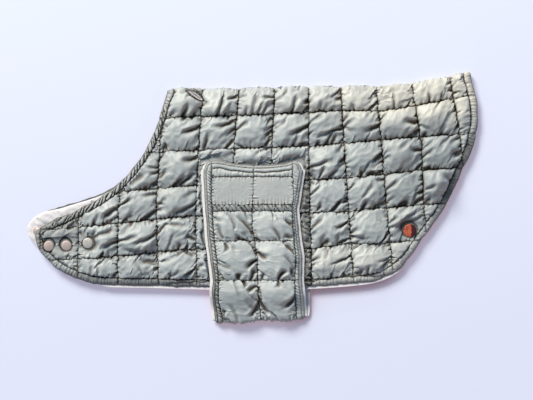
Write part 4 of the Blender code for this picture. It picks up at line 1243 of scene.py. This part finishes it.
class BandQuilt(Quilt):
    fold = BAND_FOLDED
    fine = BAND_FINE

    def __init__(self):
        tops = [row.top for row in BAND_ROWS]
        self.row_t = np.array([BAND_FOLDED.t_of(0.0, top) for top in tops] + [FOLD_SEAM])
        self.rises = np.array([row.rise for row in BAND_ROWS] + [0.0])
        self.creases = laid_flat(BAND_TUCKS, BAND_FOLDED, 0.95)
        random = np.random.default_rng(SEED + 2)
        for top, foot in zip(self.row_t[3:], self.row_t[4:]):
            edges = self.columns(np.array([(top + foot) / 2]))[:, 0]
            for left, right in zip(edges, edges[1:]):
                middle = np.array([(left + right) / 2, (top + foot) / 2])
                self.creases += cell_creases(random, middle, np.array([right - left, top - foot]), -50)
        start_t, reach, step = FOLD_GATHERS
        for x in np.arange(-44.0, 47.0, step):
            start = np.array([x + random.uniform(-0.8, 0.8), start_t])
            end = start + (random.uniform(-1.5, 1.5), reach * random.uniform(0.6, 1.3))
            self.creases.append(Crease(start, end, random.uniform(1.4, 3.0), random.uniform(0.8, 1.2), 0.0))

    def rows(self, x):
        """Where every seam that crosses the band lies, a row each, at each x. The top one sags."""
        tops = [BAND_FOLDED.t_of(x, row.top) for row in BAND_ROWS]
        tops[0] = tops[0] - 0.9 * band_sag(x)
        return np.array([*tops, np.full(len(x), FOLD_SEAM)])

    def columns(self, t):
        """The stitched columns' places, a row each, at each t: left, centre and right."""
        y = BAND_FOLDED.y_of(0.0, np.maximum(t, 0))
        heights = [line.y for line in BAND_LINES[::-1]]
        return np.array(
            [
                np.interp(y, heights, [getattr(line, name) for line in BAND_LINES[::-1]])
                for name in ("left_stitch", "centre", "right_stitch")
            ]
        )

    def sides(self, t):
        """The band's left and right sides at each t."""
        return band_edges(BAND_FOLDED.y_of(0.0, np.maximum(t, 0)))

    def cut(self, step):
        return band_cut(0.0, 0.0, step)

    def edge_waves(self, cut):
        return 0.35 * ripple(cut, 19, 23) + 0.15 * ripple(cut, 7, 24)

    def lines(self, cut, step):
        piping = cut + left_of(cut) * BAND_PIPING
        piping = piping[inside(piping, cut)]
        low, high = -BAND_FOLDED.quarter - 2, cut[:, 1].max() - 2
        t = np.arange(low, high, 1.0)
        lines = [spaced(piping[piping[:, 1] > low], step)]
        for number, x in enumerate(self.columns(t)):
            line = spaced(np.column_stack([x, t]), step)
            line[:, 0] += 0.3 * ripple(line[:, 1:] + 90 * number, 14, 17)
            lines.append(line)
        for number, row in enumerate(self.row_t):
            left, _, right = self.columns(np.array([row]))[:, 0]
            if number in SEAMS_TO_PIPING:
                edges = self.sides(np.array([row]))
                left, right = edges[0][0] + BAND_PIPING, edges[1][0] - BAND_PIPING
            x = np.arange(left, right, 1.0)
            line = spaced(np.column_stack([x, self.rows(x)[number]]), step)
            line[:, 1] += 0.45 * ripple(line[:, :1] + 70 * number, 15, 18)
            lines.append(line)
        return lines

    def wadding(self, cloth):
        points = cloth.points
        x, t = points[:, 0], points[:, 1]
        left, centre, right = self.columns(t)
        u = np.clip((x - left) / (centre - left), 0, 1) + np.clip((x - centre) / (right - centre), 0, 1)
        rows = self.rows(x)
        v = sum(np.clip((a - t) / (a - b), 0, 1) for a, b in zip(rows, rows[1:]))
        rise = self.rises[v.astype(int)]
        soft = np.clip(rise / 4, 0.3, 0.9)
        full = pillow(u) * pillow(v)
        puff = rise * (0.5 * full ** (0.7 * soft) + 0.5 * full ** (2 * soft))
        puff += 0.4 * CRUMPLE_HEIGHT * crumpled(points, 57) * np.clip(puff / 3, 0, 1) * (rise > 5)
        puff -= np.minimum(crease_depth(points, self.creases), 0.75 * puff + 0.2)
        if cloth.spacing < 3:
            puff += 0.8 * PUCKER_HEIGHT * cloth.puckers(71) * np.clip(rise / 3, 0.5, 1)
        margin = (x < left) | (x > right) | (t > rows[0])
        cloth.margin = margin
        drop = EDGE_DEPTH * (1 - smoothstep(cloth.edge_away, 0, 3)) ** 1.4 * np.where(x > right, 0.4, 1)
        rounded = np.sqrt(np.clip(cloth.edge_away / 2, 0, 1) * np.clip(cloth.seam_away / 2, 0, 1))
        channel = drop + np.where(x > right, 0.9, 1.6) * rounded
        target = np.where(margin, channel, puff) * smoothstep(t, -9, -3)
        puffed = np.clip(rise / 5, 0.1, 1) * ~margin
        stretch = turned(np.full(len(points), -38.0), CREASE_EXCESS * puffed)
        near_seam = np.exp(-((cloth.seam_away / 4) ** 2))
        excess = PUFF_EXCESS * puffed + SEAM_EXCESS * near_seam * (0.25 + 0.75 * puffed)
        stretch += np.eye(2)[None] * excess[:, None, None]
        stretch[margin] = turned(np.full(margin.sum(), 12.0), np.full(margin.sum(), 0.14))
        return target, stretch

    def gathers(self, cloth):
        """The rows of small gathers.

        They lie along both side seams, in the narrow row, above the flat row's lower seam and at its centre.
        """
        x, t = cloth.points.T
        left, centre, right = self.columns(t)
        rows = self.rows(x)
        within = (x > left) & (x < right)
        from_side = np.minimum(np.abs(x - left + 1.0), np.abs(x - right - 1.0))
        height = np.where(x < centre, 1.0, 0.6) * SIDE_GATHER.height
        wave = gathered(t + 0.7 * x, SIDE_GATHER.pitch, 74)
        total = height * wave * np.exp(-((from_side / 3.5) ** 4)) * smoothstep(t, 3, 12)
        total *= 1 - smoothstep(t - rows[0], -4, 0)

        wave = gathered(x + 0.8 * t, NARROW_GATHER.pitch, 76)
        total += np.where(within & (t > rows[3]) & (t < rows[2]), NARROW_GATHER.height * wave, 0)

        above = t - rows[2]
        reach = 4.6 + 2.4 * ripple(x[:, None], 7, 80)
        fade = smoothstep(above, 0, 1.0) * np.exp(-np.abs(above / reach) ** 1.5)
        wave = gathered(x, FLAT_GATHER.pitch, 78)
        total += np.where(within & (above > 0), FLAT_GATHER.height * wave * fade, 0)

        wave = gathered(t, FLAT_GATHER.pitch, 85) * np.exp(-(((x - centre) / 3.4) ** 2))
        total += np.where((above > 0) & (t < rows[1]), 0.5 * FLAT_GATHER.height * wave, 0)
        return total * smoothstep(cloth.seam_away, 0, 1.1)

    def shade(self, cloth):
        """Paints shade on the left margin and narrow row, light on top rows, less in the right margin's
        hollows.
        """
        x, t = cloth.points.T
        left, _, right = self.columns(t)
        # Less painted shade in the right margin's hollows.
        cloth.open = np.where(cloth.margin & (x > right), 0.35, 1.0)
        rows = self.rows(x)
        narrow = (t > rows[3]) & (t < rows[2]) & (x > left) & (x < right)
        # Painted shade on the left margin and the narrow row.
        cloth.dark = np.where(x < left, 0.45 * (1 - smoothstep(t, 40, 90)), 0.0) + 0.35 * narrow
        # Painted light on the rows above the narrow one.
        cloth.painted_light = 0.2 * ((t > rows[2]) & ~cloth.margin)


# Meshes ------------------------------------------------------------------------------------------------


def mesh_object(name, points, faces, material, uv=None, marks=(), smooth=60):
    mesh = bpy.data.meshes.new(name)
    mesh.from_pydata((np.asarray(points) * MM).tolist(), [], [tuple(int(k) for k in f) for f in faces])
    mesh.validate()
    if uv is not None:
        layer = mesh.uv_layers.new(name="cloth")
        index = np.empty(len(mesh.loops), int)
        mesh.loops.foreach_get("vertex_index", index)
        layer.data.foreach_set("uv", (np.asarray(uv)[index] * MM).astype(np.float32).ravel())
    for mark, values in dict(marks).items():
        attribute = mesh.attributes.new(mark, "FLOAT", "POINT")
        attribute.data.foreach_set("value", np.asarray(values, np.float32))
    mesh.shade_smooth()
    mesh.set_sharp_from_angle(angle=math.radians(smooth))
    mesh.materials.append(material)
    made = bpy.data.objects.new(name, mesh)
    bpy.context.scene.collection.objects.link(made)
    return made


def closed_sheet(name, cloth, rims, inner_h, material, raised=None):
    """The settled cloth, closed by rings round its rim and by a plain inner face.

    rims are (outward, h) pairs, one for each ring. raised tells how far the inner face stands up at a place.
    """
    fold = cloth.fold
    flats = [cloth.settled]
    heights = [cloth.h]
    faces = [tuple(t) for t in cloth.triangles]
    count = len(cloth.loop)
    loop_ids = np.arange(count)
    start = len(cloth.points)
    away = -left_of(cloth.loop)
    last = loop_ids
    for outward, h in rims:
        ring = cloth.loop + away * outward
        flats.append(ring)
        heights.append(np.full(count, h))
        ids = np.arange(start, start + count)
        start += count
        nxt, nxt_last = np.roll(ids, -1), np.roll(last, -1)
        faces += [(a, d, c, b) for a, b, c, d in zip(last, nxt_last, nxt, ids)]
        last = ids
    inner_loop = flats[-1]
    under = Cloth(fold, COARSE, inner_loop, cloth.hole)
    rows = np.linspace(-fold.quarter, fold.quarter, 7)
    x = np.arange(inner_loop[:, 0].min(), inner_loop[:, 0].max(), COARSE)
    grid = np.array([(a, b) for b in rows for a in x])
    grid = grid[inside(grid, inner_loop)]
    if cloth.hole is not None:
        grid = grid[~inside(grid, cloth.hole)]
    under.add(grid, 0.0, 2.0)
    wide = np.array([(a, b) for b in np.arange(-260, 260, 14.0) for a in x[::2] if abs(b) > fold.quarter + 4])
    wide = wide[inside(wide, inner_loop)]
    if raised is not None:
        wide = wide[(wide[:, 1] > 0) | (wide[:, 0] > FAR_STRAP_END)]
        across = np.arange(-260, -fold.quarter, STRAP_FINE)
        strap = np.array([(a, b) for a in np.arange(-262, FAR_STRAP_END, STRAP_FINE) for b in across])
        under.add(strap[inside(strap, inner_loop)], 0.0, 1.2)
    under.add(wide, 0.0, 4.0)
    under.triangulate()
    ids = np.arange(start, start + len(under.points))
    ids[:count] = last
    if cloth.hole is not None:
        holes = len(cloth.hole)
        hole_out = np.arange(count, count + holes)
        hole_in = ids[count : count + holes]
        faces += list(zip(hole_out, np.roll(hole_out, -1), np.roll(hole_in, -1), hole_in))
    faces += [tuple(ids[k] for k in t[::-1]) for t in under.triangles]
    flats.append(under.points)
    heights.append(np.full(len(under.points), inner_h))
    if raised is not None:
        heights[-1][count:] -= raised(under.points[count:])
    flat = np.vstack(flats)
    h = np.concatenate(heights)
    points = fold.folded(flat, h)
    uv = np.vstack([cloth.points, flat[len(cloth.points) :]])
    others = np.zeros(len(flat) - len(cloth.points))
    # 0.9 on the lower layer and 0.5 on the upper; hollow_shade is painted shade, painted_light painted light.
    # Painted shade: seam darkens the seams, wherever the quilt paints shade, and the rims and inner face,
    drawn_in = np.exp(-((cloth.seam_away / 0.9) ** 2)) + cloth.dark
    marks = {
        "seam": np.r_[np.clip(drawn_in, 0, 1.6), np.where(flat[len(cloth.points) :, 1] < 0, 0.9, 0.5)],
        "hollow_shade": np.r_[cloth.hollows() * cloth.open, others],
        "painted_light": np.r_[cloth.painted_light + np.zeros(len(cloth.points)), others],
    }
    if fold.faces > 0:
        faces = [f[::-1] for f in faces]
    used = np.unique(np.concatenate([np.array(f) for f in faces]))
    order = np.full(len(points), -1)
    order[used] = np.arange(len(used))
    faces = [tuple(order[list(f)]) for f in faces]
    marks = {mark: values[used] for mark, values in marks.items()}
    return mesh_object(name, points[used], faces, material, uv[used], marks)


def stitches(name, cloth, material):
    """Every stitch of the seams as a short thread that dips into the cloth at both ends."""
    sides = 5
    ring = np.linspace(0, 2 * math.pi, sides, endpoint=False)
    shape = ((0.05, -0.25, 0.14), (0.25, 0.16, 0.21), (0.75, 0.16, 0.21), (0.95, -0.25, 0.14))
    points = []
    faces = []
    fold = cloth.fold
    for line in cloth.seams:
        run = along(line)
        keys = np.arange(0, run[-1] - STITCH_PITCH, STITCH_PITCH)
        for s in keys:
            at = np.array([s + share * STITCH_PITCH for share, _, _ in shape])
            flat = np.column_stack([np.interp(at, run, line[:, k]) for k in range(2)])
            if np.hypot(*(flat[-1] - flat[0])) > STITCH_PITCH * 1.05:
                continue
            h = stitch_depth(at) + np.array([rise for _, rise, _ in shape])
            centres = fold.folded(flat, h)
            above = fold.folded(flat, h + 0.5) - centres
            above /= np.linalg.norm(above, axis=1)[:, None]
            ahead = np.gradient(centres, axis=0)
            ahead /= np.linalg.norm(ahead, axis=1)[:, None]
            side = np.cross(ahead, above)
            first = len(points) * sides
            for k, (_, _, radius) in enumerate(shape):
                points.append(
                    centres[k] + radius * (np.outer(np.cos(ring), side[k]) + np.outer(np.sin(ring), above[k]))
                )
            for k in range(len(shape) - 1):
                a, b = first + k * sides, first + (k + 1) * sides
                faces += [(a + j, a + (j + 1) % sides, b + (j + 1) % sides, b + j) for j in range(sides)]
            faces.append(tuple(first + j for j in reversed(range(sides))))
            faces.append(tuple(first + (len(shape) - 1) * sides + j for j in range(sides)))
    return mesh_object(name, np.vstack(points), faces, material)


# Materials ------------------------------------------------------------------------------------------------


class Nodes:
    """A short way to write a material's nodes."""

    def __init__(self, name):
        self.material = bpy.data.materials.new(name)
        self.material.use_nodes = True
        self.tree = self.material.node_tree
        self.shader = self.tree.nodes["Principled BSDF"]

    def add(self, kind, inputs=(), **settings):
        node = self.tree.nodes.new(kind)
        for key, value in settings.items():
            setattr(node, key, value)
        for key, value in dict(inputs).items():
            self.put(node.inputs[key], value)
        return node

    def put(self, socket, value):
        if isinstance(value, bpy.types.NodeSocket):
            self.tree.links.new(value, socket)
        else:
            socket.default_value = value

    def set(self, **inputs):
        for key, value in inputs.items():
            self.put(self.shader.inputs[key.replace("_", " ")], value)

    def noise(self, where, scale, detail=3.0, roughness=0.55):
        node = self.add(
            "ShaderNodeTexNoise", {"Vector": where, "Scale": scale, "Detail": detail, "Roughness": roughness}
        )
        return node.outputs["Fac"]

    def mix(self, share, a, b):
        node = self.add("ShaderNodeMix", data_type="RGBA")
        self.put(node.inputs["Factor"], share)
        self.put(node.inputs["A"], a)
        self.put(node.inputs["B"], b)
        return node.outputs["Result"]

    def math(self, operation, a, b=0.0):
        node = self.add("ShaderNodeMath", operation=operation)
        self.put(node.inputs[0], a)
        self.put(node.inputs[1], b)
        return node.outputs[0]

    def spread(self, value, low, high, to_low=0.0, to_high=1.0):
        node = self.add("ShaderNodeMapRange", {"Value": value})
        node.inputs["From Min"].default_value = low
        node.inputs["From Max"].default_value = high
        node.inputs["To Min"].default_value = to_low
        node.inputs["To Max"].default_value = to_high
        return node.outputs["Result"]

    def bump(self, height, strength, distance, normal=None):
        node = self.add("ShaderNodeBump", {"Height": height, "Strength": strength, "Distance": distance})
        if normal is not None:
            self.put(node.inputs["Normal"], normal)
        return node.outputs["Normal"]


def nylon():
    """Fine plain-weave nylon with a soft sheen and faint crinkles.

    It is painted paler and warmer where light falls, painted warm brown shade where it faces right and
    down, away from the light, and painted dark shade in its hollows, along its seams and where the quilt
    paints shade.
    """
    n = Nodes("sage_nylon")
    place = n.add("ShaderNodeTexCoord").outputs["Object"]
    uv = n.add("ShaderNodeUVMap", uv_map="cloth").outputs["UV"]
    seam = n.add("ShaderNodeAttribute", attribute_name="seam").outputs["Fac"]
    hollow_shade = n.add("ShaderNodeAttribute", attribute_name="hollow_shade").outputs["Fac"]
    patches = n.noise(place, 22.0, 3.0)
    base = n.mix(n.spread(patches, 0.35, 0.65), (0.405, 0.463, 0.515, 1), (0.482, 0.542, 0.592, 1))
    threads = n.noise(uv, 900.0, 2.0)
    base = n.mix(n.spread(threads, 0.35, 0.65, 0.0, 0.25), base, (0.36, 0.39, 0.392, 1))
    # Painted light: paler, warmer nylon where the quilt paints light.
    painted_light = n.add("ShaderNodeAttribute", attribute_name="painted_light").outputs["Fac"]
    base = n.mix(n.math("MULTIPLY", painted_light, 0.55), base, (0.67, 0.672, 0.635, 1))
    # Painted shade: warm brown on the sides that face right and down, away from the window light.
    normal = n.add("ShaderNodeNewGeometry").outputs["Normal"]
    ways = n.add("ShaderNodeSeparateXYZ", {"Vector": normal}).outputs
    shaded_side = n.math("SUBTRACT", n.math("MULTIPLY", ways["X"], 0.5), n.math("MULTIPLY", ways["Y"], 0.87))
    base = n.mix(n.spread(shaded_side, 0.3, 0.85, 0.0, 0.6), base, (0.58, 0.42, 0.30, 1))
    # Painted shade in the cloth's hollows.
    base = n.mix(n.math("MULTIPLY", hollow_shade, 0.95), base, (0.092, 0.062, 0.040, 1))
    # Painted shade along the seams, on the rims and wherever the quilt paints shade.
    base = n.mix(n.math("MULTIPLY", seam, 0.72), base, (0.018, 0.014, 0.011, 1))
    wave = {"Vector": uv, "Scale": 620.0, "Distortion": 0.6}
    threads_across = [n.add("ShaderNodeTexWave", wave, bands_direction=way) for way in "XY"]
    weave = n.math("ADD", *(node.outputs["Fac"] for node in threads_across))
    crinkle = n.noise(place, 130.0, 3.0, 0.55)
    soft = n.bump(crinkle, 0.6, 0.0013)
    n.set(
        Base_Color=base,
        Roughness=0.45,
        Specular_IOR_Level=0.4,
        Normal=n.bump(weave, 0.16, 0.00012, soft),
    )
    return n.material


def fleece():
    """Short-nap fleece: off-white with a faint pink cast, soft and matt."""
    n = Nodes("fleece")
    place = n.add("ShaderNodeTexCoord").outputs["Object"]
    tufts = n.noise(place, 420.0, 5.0, 0.65)
    clumps = n.noise(place, 120.0, 3.0)
    base = n.mix(n.spread(clumps, 0.35, 0.65), (0.70, 0.71, 0.79, 1), (0.79, 0.80, 0.89, 1))
    both = n.math("ADD", tufts, n.math("MULTIPLY", clumps, 0.8))
    n.set(
        Base_Color=base,
        Roughness=0.95,
        Specular_IOR_Level=0.1,
        Sheen_Weight=0.5,
        Sheen_Roughness=0.6,
        Normal=n.bump(both, 0.5, 0.0010),
    )
    return n.material


def thread():
    # The thread is painted nearly black, as painted shade in the stitch lines.
    n = Nodes("thread_painted_dark")
    place = n.add("ShaderNodeTexCoord").outputs["Object"]
    ply = n.noise(place, 1500.0, 2.0)
    n.set(
        Base_Color=n.mix(ply, (0.08, 0.095, 0.095, 1), (0.13, 0.15, 0.148, 1)),
        Roughness=0.6,
        Sheen_Weight=0.3,
        Normal=n.bump(ply, 0.4, 0.0003),
    )
    return n.material


def brushed(name, color, dark, roughness, metallic=1.0, painted_reflection=None):
    """Brushed metal. painted_reflection: the x in metres where a painted dark reflection begins, its colour.
    """
    n = Nodes(name)
    place = n.add("ShaderNodeTexCoord").outputs["Object"]
    streaks = n.add("ShaderNodeMapping", {"Vector": place, "Scale": (60.0, 900.0, 60.0)}).outputs["Vector"]
    fine = n.noise(streaks, 4.0, 3.0)
    worn = n.noise(place, 260.0, 3.0)
    base = n.mix(n.spread(worn, 0.35, 0.7), color, dark)
    # Painted reflection: past an x the metal takes a dark colour, as a dome reflecting the dark room.
    if painted_reflection:
        start, reflection_colour = painted_reflection
        x = n.add("ShaderNodeSeparateXYZ", {"Vector": place}).outputs["X"]
        x = n.math("ADD", x, n.math("MULTIPLY", worn, 0.002))
        base = n.mix(n.spread(x, start + 0.001, start + 0.0016), base, reflection_colour)
    n.set(
        Base_Color=base,
        Metallic=metallic,
        Roughness=n.spread(fine, 0.3, 0.7, roughness - 0.08, roughness + 0.1),
        Normal=n.bump(fine, 0.12, 0.0001),
    )
    return n.material


def rose_metal():
    return brushed("rose_metal", (0.64, 0.555, 0.56, 1), (0.54, 0.455, 0.455, 1), 0.5, 0.6)


def worn_metal():
    return brushed("worn_metal", (0.66, 0.65, 0.66, 1), (0.54, 0.53, 0.53, 1), 0.5, 0.6)


def copper_metal():
    # The rivet's right part is painted with a dark reflection.
    reflection_from = (RIVET.x + 1.3) * MM
    reflection_colour = (0.115, 0.034, 0.048, 1)
    return brushed("copper", (0.96, 0.25, 0.13, 1), (0.66, 0.13, 0.09, 1), 0.4, 0.6, (reflection_from, reflection_colour))


def floor_paint():
    """A pale sheet with painted light: it glows a little, so that shadows on it stay light.

    Its colour is painted paler towards +Y, as the light falls off. Its glow is painted warm shade close to
    the coat, most at the lower right, and one painted shadow lies beside the hem.
    """
    n = Nodes("pale_floor")
    place = n.add("ShaderNodeTexCoord").outputs["Object"]
    clear = n.add("ShaderNodeAmbientOcclusion", {"Distance": 0.04}, samples=8).outputs["AO"]
    at = n.add("ShaderNodeSeparateXYZ", {"Vector": place}).outputs
    lower_right = n.math("SUBTRACT", n.math("MULTIPLY", at["X"], 0.45), at["Y"])
    # Painted warm shade on the floor close to the coat, most at the lower right.
    warm = n.math("MULTIPLY", n.spread(clear, 0.95, 0.45), n.spread(lower_right, 0.0, 0.1, 0.2, 1.0))
    glow = n.mix(warm, (0.84, 0.79, 0.96, 1), (0.90, 0.56, 0.58, 1))
    # A painted shadow beside the hem.
    hem = n.add("ShaderNodeMapping", {"Vector": place, "Location": (-0.105, 0.104, 0.0)}).outputs["Vector"]
    from_hem = n.add("ShaderNodeVectorMath", {"Vector": hem}, operation="LENGTH").outputs["Value"]
    shaded = n.math("MULTIPLY", n.spread(clear, 0.98, 0.72), n.spread(from_hem, 0.085, 0.05))
    # Painted light: the colour is paler towards +Y, and the glow is painted light.
    n.set(
        Base_Color=n.mix(n.spread(at["Y"], -0.15, 0.25), (0.456, 0.526, 0.700, 1), (0.508, 0.590, 0.738, 1)),
        Roughness=1.0,
        Specular_IOR_Level=0.0,
        Emission_Color=n.mix(shaded, glow, (0.44, 0.21, 0.18, 1)),
        Emission_Strength=0.36,
    )
    return n.material


# The studio ------------------------------------------------------------------------------------------------


def make_floor():
    size = 3.0
    mesh = bpy.data.meshes.new("floor")
    corners = [(-size, -size, 0), (size, -size, 0), (size, size, 0), (-size, size, 0)]
    mesh.from_pydata(corners, [], [(0, 1, 2, 3)])
    mesh.materials.append(floor_paint())
    floor = bpy.data.objects.new("floor", mesh)
    floor.location.z = -0.0004
    bpy.context.scene.collection.objects.link(floor)


def aimed(made, place, at):
    made.location = place
    made.rotation_euler = (Vector(at) - Vector(place)).to_track_quat("-Z", "Y").to_euler()
    bpy.context.scene.collection.objects.link(made)
    return made


def area_light(name, place, at, size, power, color):
    light = bpy.data.lights.new(name, "AREA")
    light.shape = "RECTANGLE"
    light.size, light.size_y = size
    light.energy = power
    light.color = color
    return aimed(bpy.data.objects.new(name, light), place, at)


def make_lights():
    area_light("window", (-2.7, 4.4, 3.8), (0.0, 0.0, 0.0), (2.8, 2.2), 642, (1.0, 0.90, 0.745))
    area_light("bounce", (1.1, -1.3, 0.8), (0, 0, 0), (1.2, 0.9), 4, (1.0, 0.74, 0.64))
    world = bpy.data.worlds.new("room")
    bpy.context.scene.world = world
    world.use_nodes = True
    back = world.node_tree.nodes["Background"]
    back.inputs["Color"].default_value = (0.47, 0.75, 1.0, 1)
    back.inputs["Strength"].default_value = 0.215
    bpy.context.scene.view_settings.view_transform = "Standard"


def make_camera():
    """Straight down, with the photo's frame on the coat's top."""
    height = 2.0
    coat_top = 0.01
    width = FRAME_WIDTH * PIXEL * MM
    camera = bpy.data.cameras.new("camera")
    camera.sensor_width = 36.0
    camera.lens = camera.sensor_width * (height - coat_top) / width
    made = bpy.data.objects.new("camera", camera)
    made.location = (
        (FRAME_WIDTH / 2 - ORIGIN_PX.x) * PIXEL * MM,
        (ORIGIN_PX.y - FRAME_HEIGHT / 2) * PIXEL * MM,
        height,
    )
    bpy.context.scene.collection.objects.link(made)
    bpy.context.scene.camera = made


# Linings and metal ------------------------------------------------------------------------------------------


class Lining:
    """A plain folded sheet of fleece, cut to a loop."""

    def __init__(self, fold, loop, top_h, wall, spacing, hole=None):
        cloth = Cloth(fold, spacing, loop, hole)
        cloth.scatter(-fold.quarter * 1.2)
        cloth.triangulate()
        cloth.h = np.full(len(cloth.points), top_h)
        cloth.edge_away, _ = nearest(cloth.points, tree_of(loop))
        cloth.seam_away = np.full(len(cloth.points), 99.0)
        cloth.h -= 0.35 * wall * (1 - smoothstep(cloth.edge_away, 0, 1.6))
        self.cloth = cloth
        self.wall = wall
        self.top_h = top_h

    def mesh(self, name, material, raised=None):
        rims = ((0.35, self.top_h - 0.55 * self.wall),)
        return closed_sheet(name, self.cloth, rims, self.top_h - self.wall, material, raised)


def coat_lining():
    loop = coat_cut(LINING_INSET, LINING_SHOWS, 2.5)
    lining = Lining(COAT_FOLD, loop, -SHELL_WALL - SEAM_GAP, LINING_WALL, 3.2, slit(-1.6, 24))
    cloth = lining.cloth
    away, _ = nearest(cloth.points, tree_of(slit(0.0, 60)))
    on_hem = smoothstep(COAT_FOLD.y_of(*cloth.points.T), -60, -85) * (cloth.points[:, 1] > 0)
    cloth.h += LINING_CURLS * (1 - smoothstep(cloth.edge_away, 0.5, 2.6)) * on_hem
    cloth.h += SLIT_BULGE * smoothstep(np.where(inside(cloth.points, slit(0.0, 60)), away, 0), 0, 2.5)
    return lining


def strap_folds(points):
    """How far the far strap's lining stands up in folds where the near strap doesn't cover it."""
    x, y = points[:, 0], COAT_FOLD.y_of(points[:, 0], points[:, 1])
    near = smooth_curve(LEFT_STRAP_EDGE, 2.0)
    away, found = nearest(np.column_stack([x, y]), tree_of(near))
    ways = left_of(near, closed=False)[found]
    outside = ((np.column_stack([x, y]) - near[found]) * ways).sum(1) < 0
    free = smoothstep(np.where(outside, away, 0), 0.3, 3.0) * (points[:, 1] < 0)
    wave = 0.8 + 1.4 * ripple(np.column_stack([x * 0.5 + y, 0.3 * x]), 9, 91) + 0.7 * ripple(points, 5, 92)
    return free * np.clip(wave, 0, 3) * smoothstep(x, FAR_STRAP_END, FAR_STRAP_END - 30)


def band_lining():
    loop = band_cut(BAND_LINING_SHOWS, 1.5, 1.6)
    loop = loop - left_of(loop) * (0.3 * ripple(loop, 26, 33) + 0.12 * ripple(loop, 6, 34))[:, None]
    return Lining(BAND_FOLDED, loop, -BAND_SHELL_WALL - SEAM_GAP, BAND_LINING_WALL, 3.0)


def revolved(name, middle, base, profile, material):
    """A turned metal part. The profile runs from the rim's foot to the middle, as radius and height."""
    turns = np.linspace(0, 2 * math.pi, 64, endpoint=False)
    rings = [
        np.column_stack(
            [middle.x + r * np.cos(turns), middle.y + r * np.sin(turns), np.full(len(turns), base + z)]
        )
        for r, z in profile
    ]
    count = len(turns)
    faces = [tuple(range(count))[::-1]]
    for k in range(len(profile) - 1):
        a, b = k * count, (k + 1) * count
        faces += [(a + j, a + (j + 1) % count, b + (j + 1) % count, b + j) for j in range(count)]
    faces.append(tuple((len(profile) - 1) * count + j for j in range(count)))
    return mesh_object(name, np.vstack(rings), faces, material, smooth=40)


def cap_profile(radius, height):
    """A shallow dome with a rolled rim."""
    dome = [(radius * r, height * (1 - 0.22 * r**2)) for r in (0.84, 0.70, 0.55, 0.40, 0.25, 0.10)]
    rim = ((0.90, 0.0), (0.985, 0.12), (1.0, 0.36), (0.985, 0.60), (0.95, 0.76), (0.89, 0.80))
    return [(radius * r, height * z) for r, z in rim] + dome


def stud_profile(radius, height):
    """A flange with a low post in its middle."""
    return [
        (radius * 0.92, 0.0),
        (radius, height * 0.18),
        (radius * 0.97, height * 0.40),
        (radius * 0.88, height * 0.52),
        (radius * 0.60, height * 0.50),
        (radius * 0.52, height * 0.62),
        (radius * 0.50, height * 0.90),
        (radius * 0.42, height),
        (radius * 0.15, height),
    ]


# The coat ------------------------------------------------------------------------------------------------


def placed(piece, slot, *nodes):
    """Puts a finished piece in the place of the solids it stands for."""
    if nodes:
        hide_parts(*nodes)
    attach(piece, "root")
    return piece


def make_cloths():
    shell, lined, sewing = nylon(), fleece(), thread()
    coat = CoatQuilt().make()
    piece = closed_sheet("coat_shell", coat, ((0.5, -2.5), (0.3, -2.9)), 0.1 - SHELL_WALL, shell)
    placed(piece, "shell_nylon", "body_shell")
    placed(stitches("coat_stitches", coat, sewing), "shell_nylon")

    band = BandQuilt().make()
    piece = closed_sheet("belly_band_shell", band, ((0.4, -2.2), (0.2, -2.4)), 0.1 - BAND_SHELL_WALL, shell)
    placed(piece, "shell_nylon", "band_shell")
    placed(stitches("band_stitches", band, sewing), "shell_nylon")

    for name, node, lining in (
        ("coat_lining", "body_lining", coat_lining()),
        ("belly_band_lining", "band_lining", band_lining()),
    ):
        raised = strap_folds if node == "body_lining" else None
        piece = placed(lining.mesh(name, lined, raised), "fleece", node)


def make_metal():
    rose, worn, copper = rose_metal(), worn_metal(), copper_metal()
    on_coat = 2 * COAT_RADIUS + SEAM_GAP
    on_lining = SHELL_WALL + LINING_WALL + 2 * SEAM_GAP
    for number, cap in enumerate(SNAP_CAPS, 1):
        base = on_coat + float(coat_lift(cap.x, cap.y))
        metal = worn if number == len(SNAP_CAPS) else rose
        made = revolved(f"snap_top_{number}", cap, base, cap_profile(SNAP_RADIUS, SNAP_HEIGHT), metal)
        placed(made, "rose_metal", f"snap_cap_{number}")
        middle = Place(cap.x + STRAP_SLIP.x, cap.y + STRAP_SLIP.y)
        profile = stud_profile(SNAP_RADIUS, STUD_HEIGHT)
        made = revolved(f"snap_base_{number}", middle, on_lining, profile, rose)
        placed(made, "rose_metal", f"snap_stud_{number}")
    made = revolved("copper_rivet", RIVET, on_coat, cap_profile(RIVET_RADIUS, RIVET_HEIGHT), copper)
    placed(made, "copper", "rivet")


make_camera()
make_lights()
make_floor()
make_cloths()
make_metal()
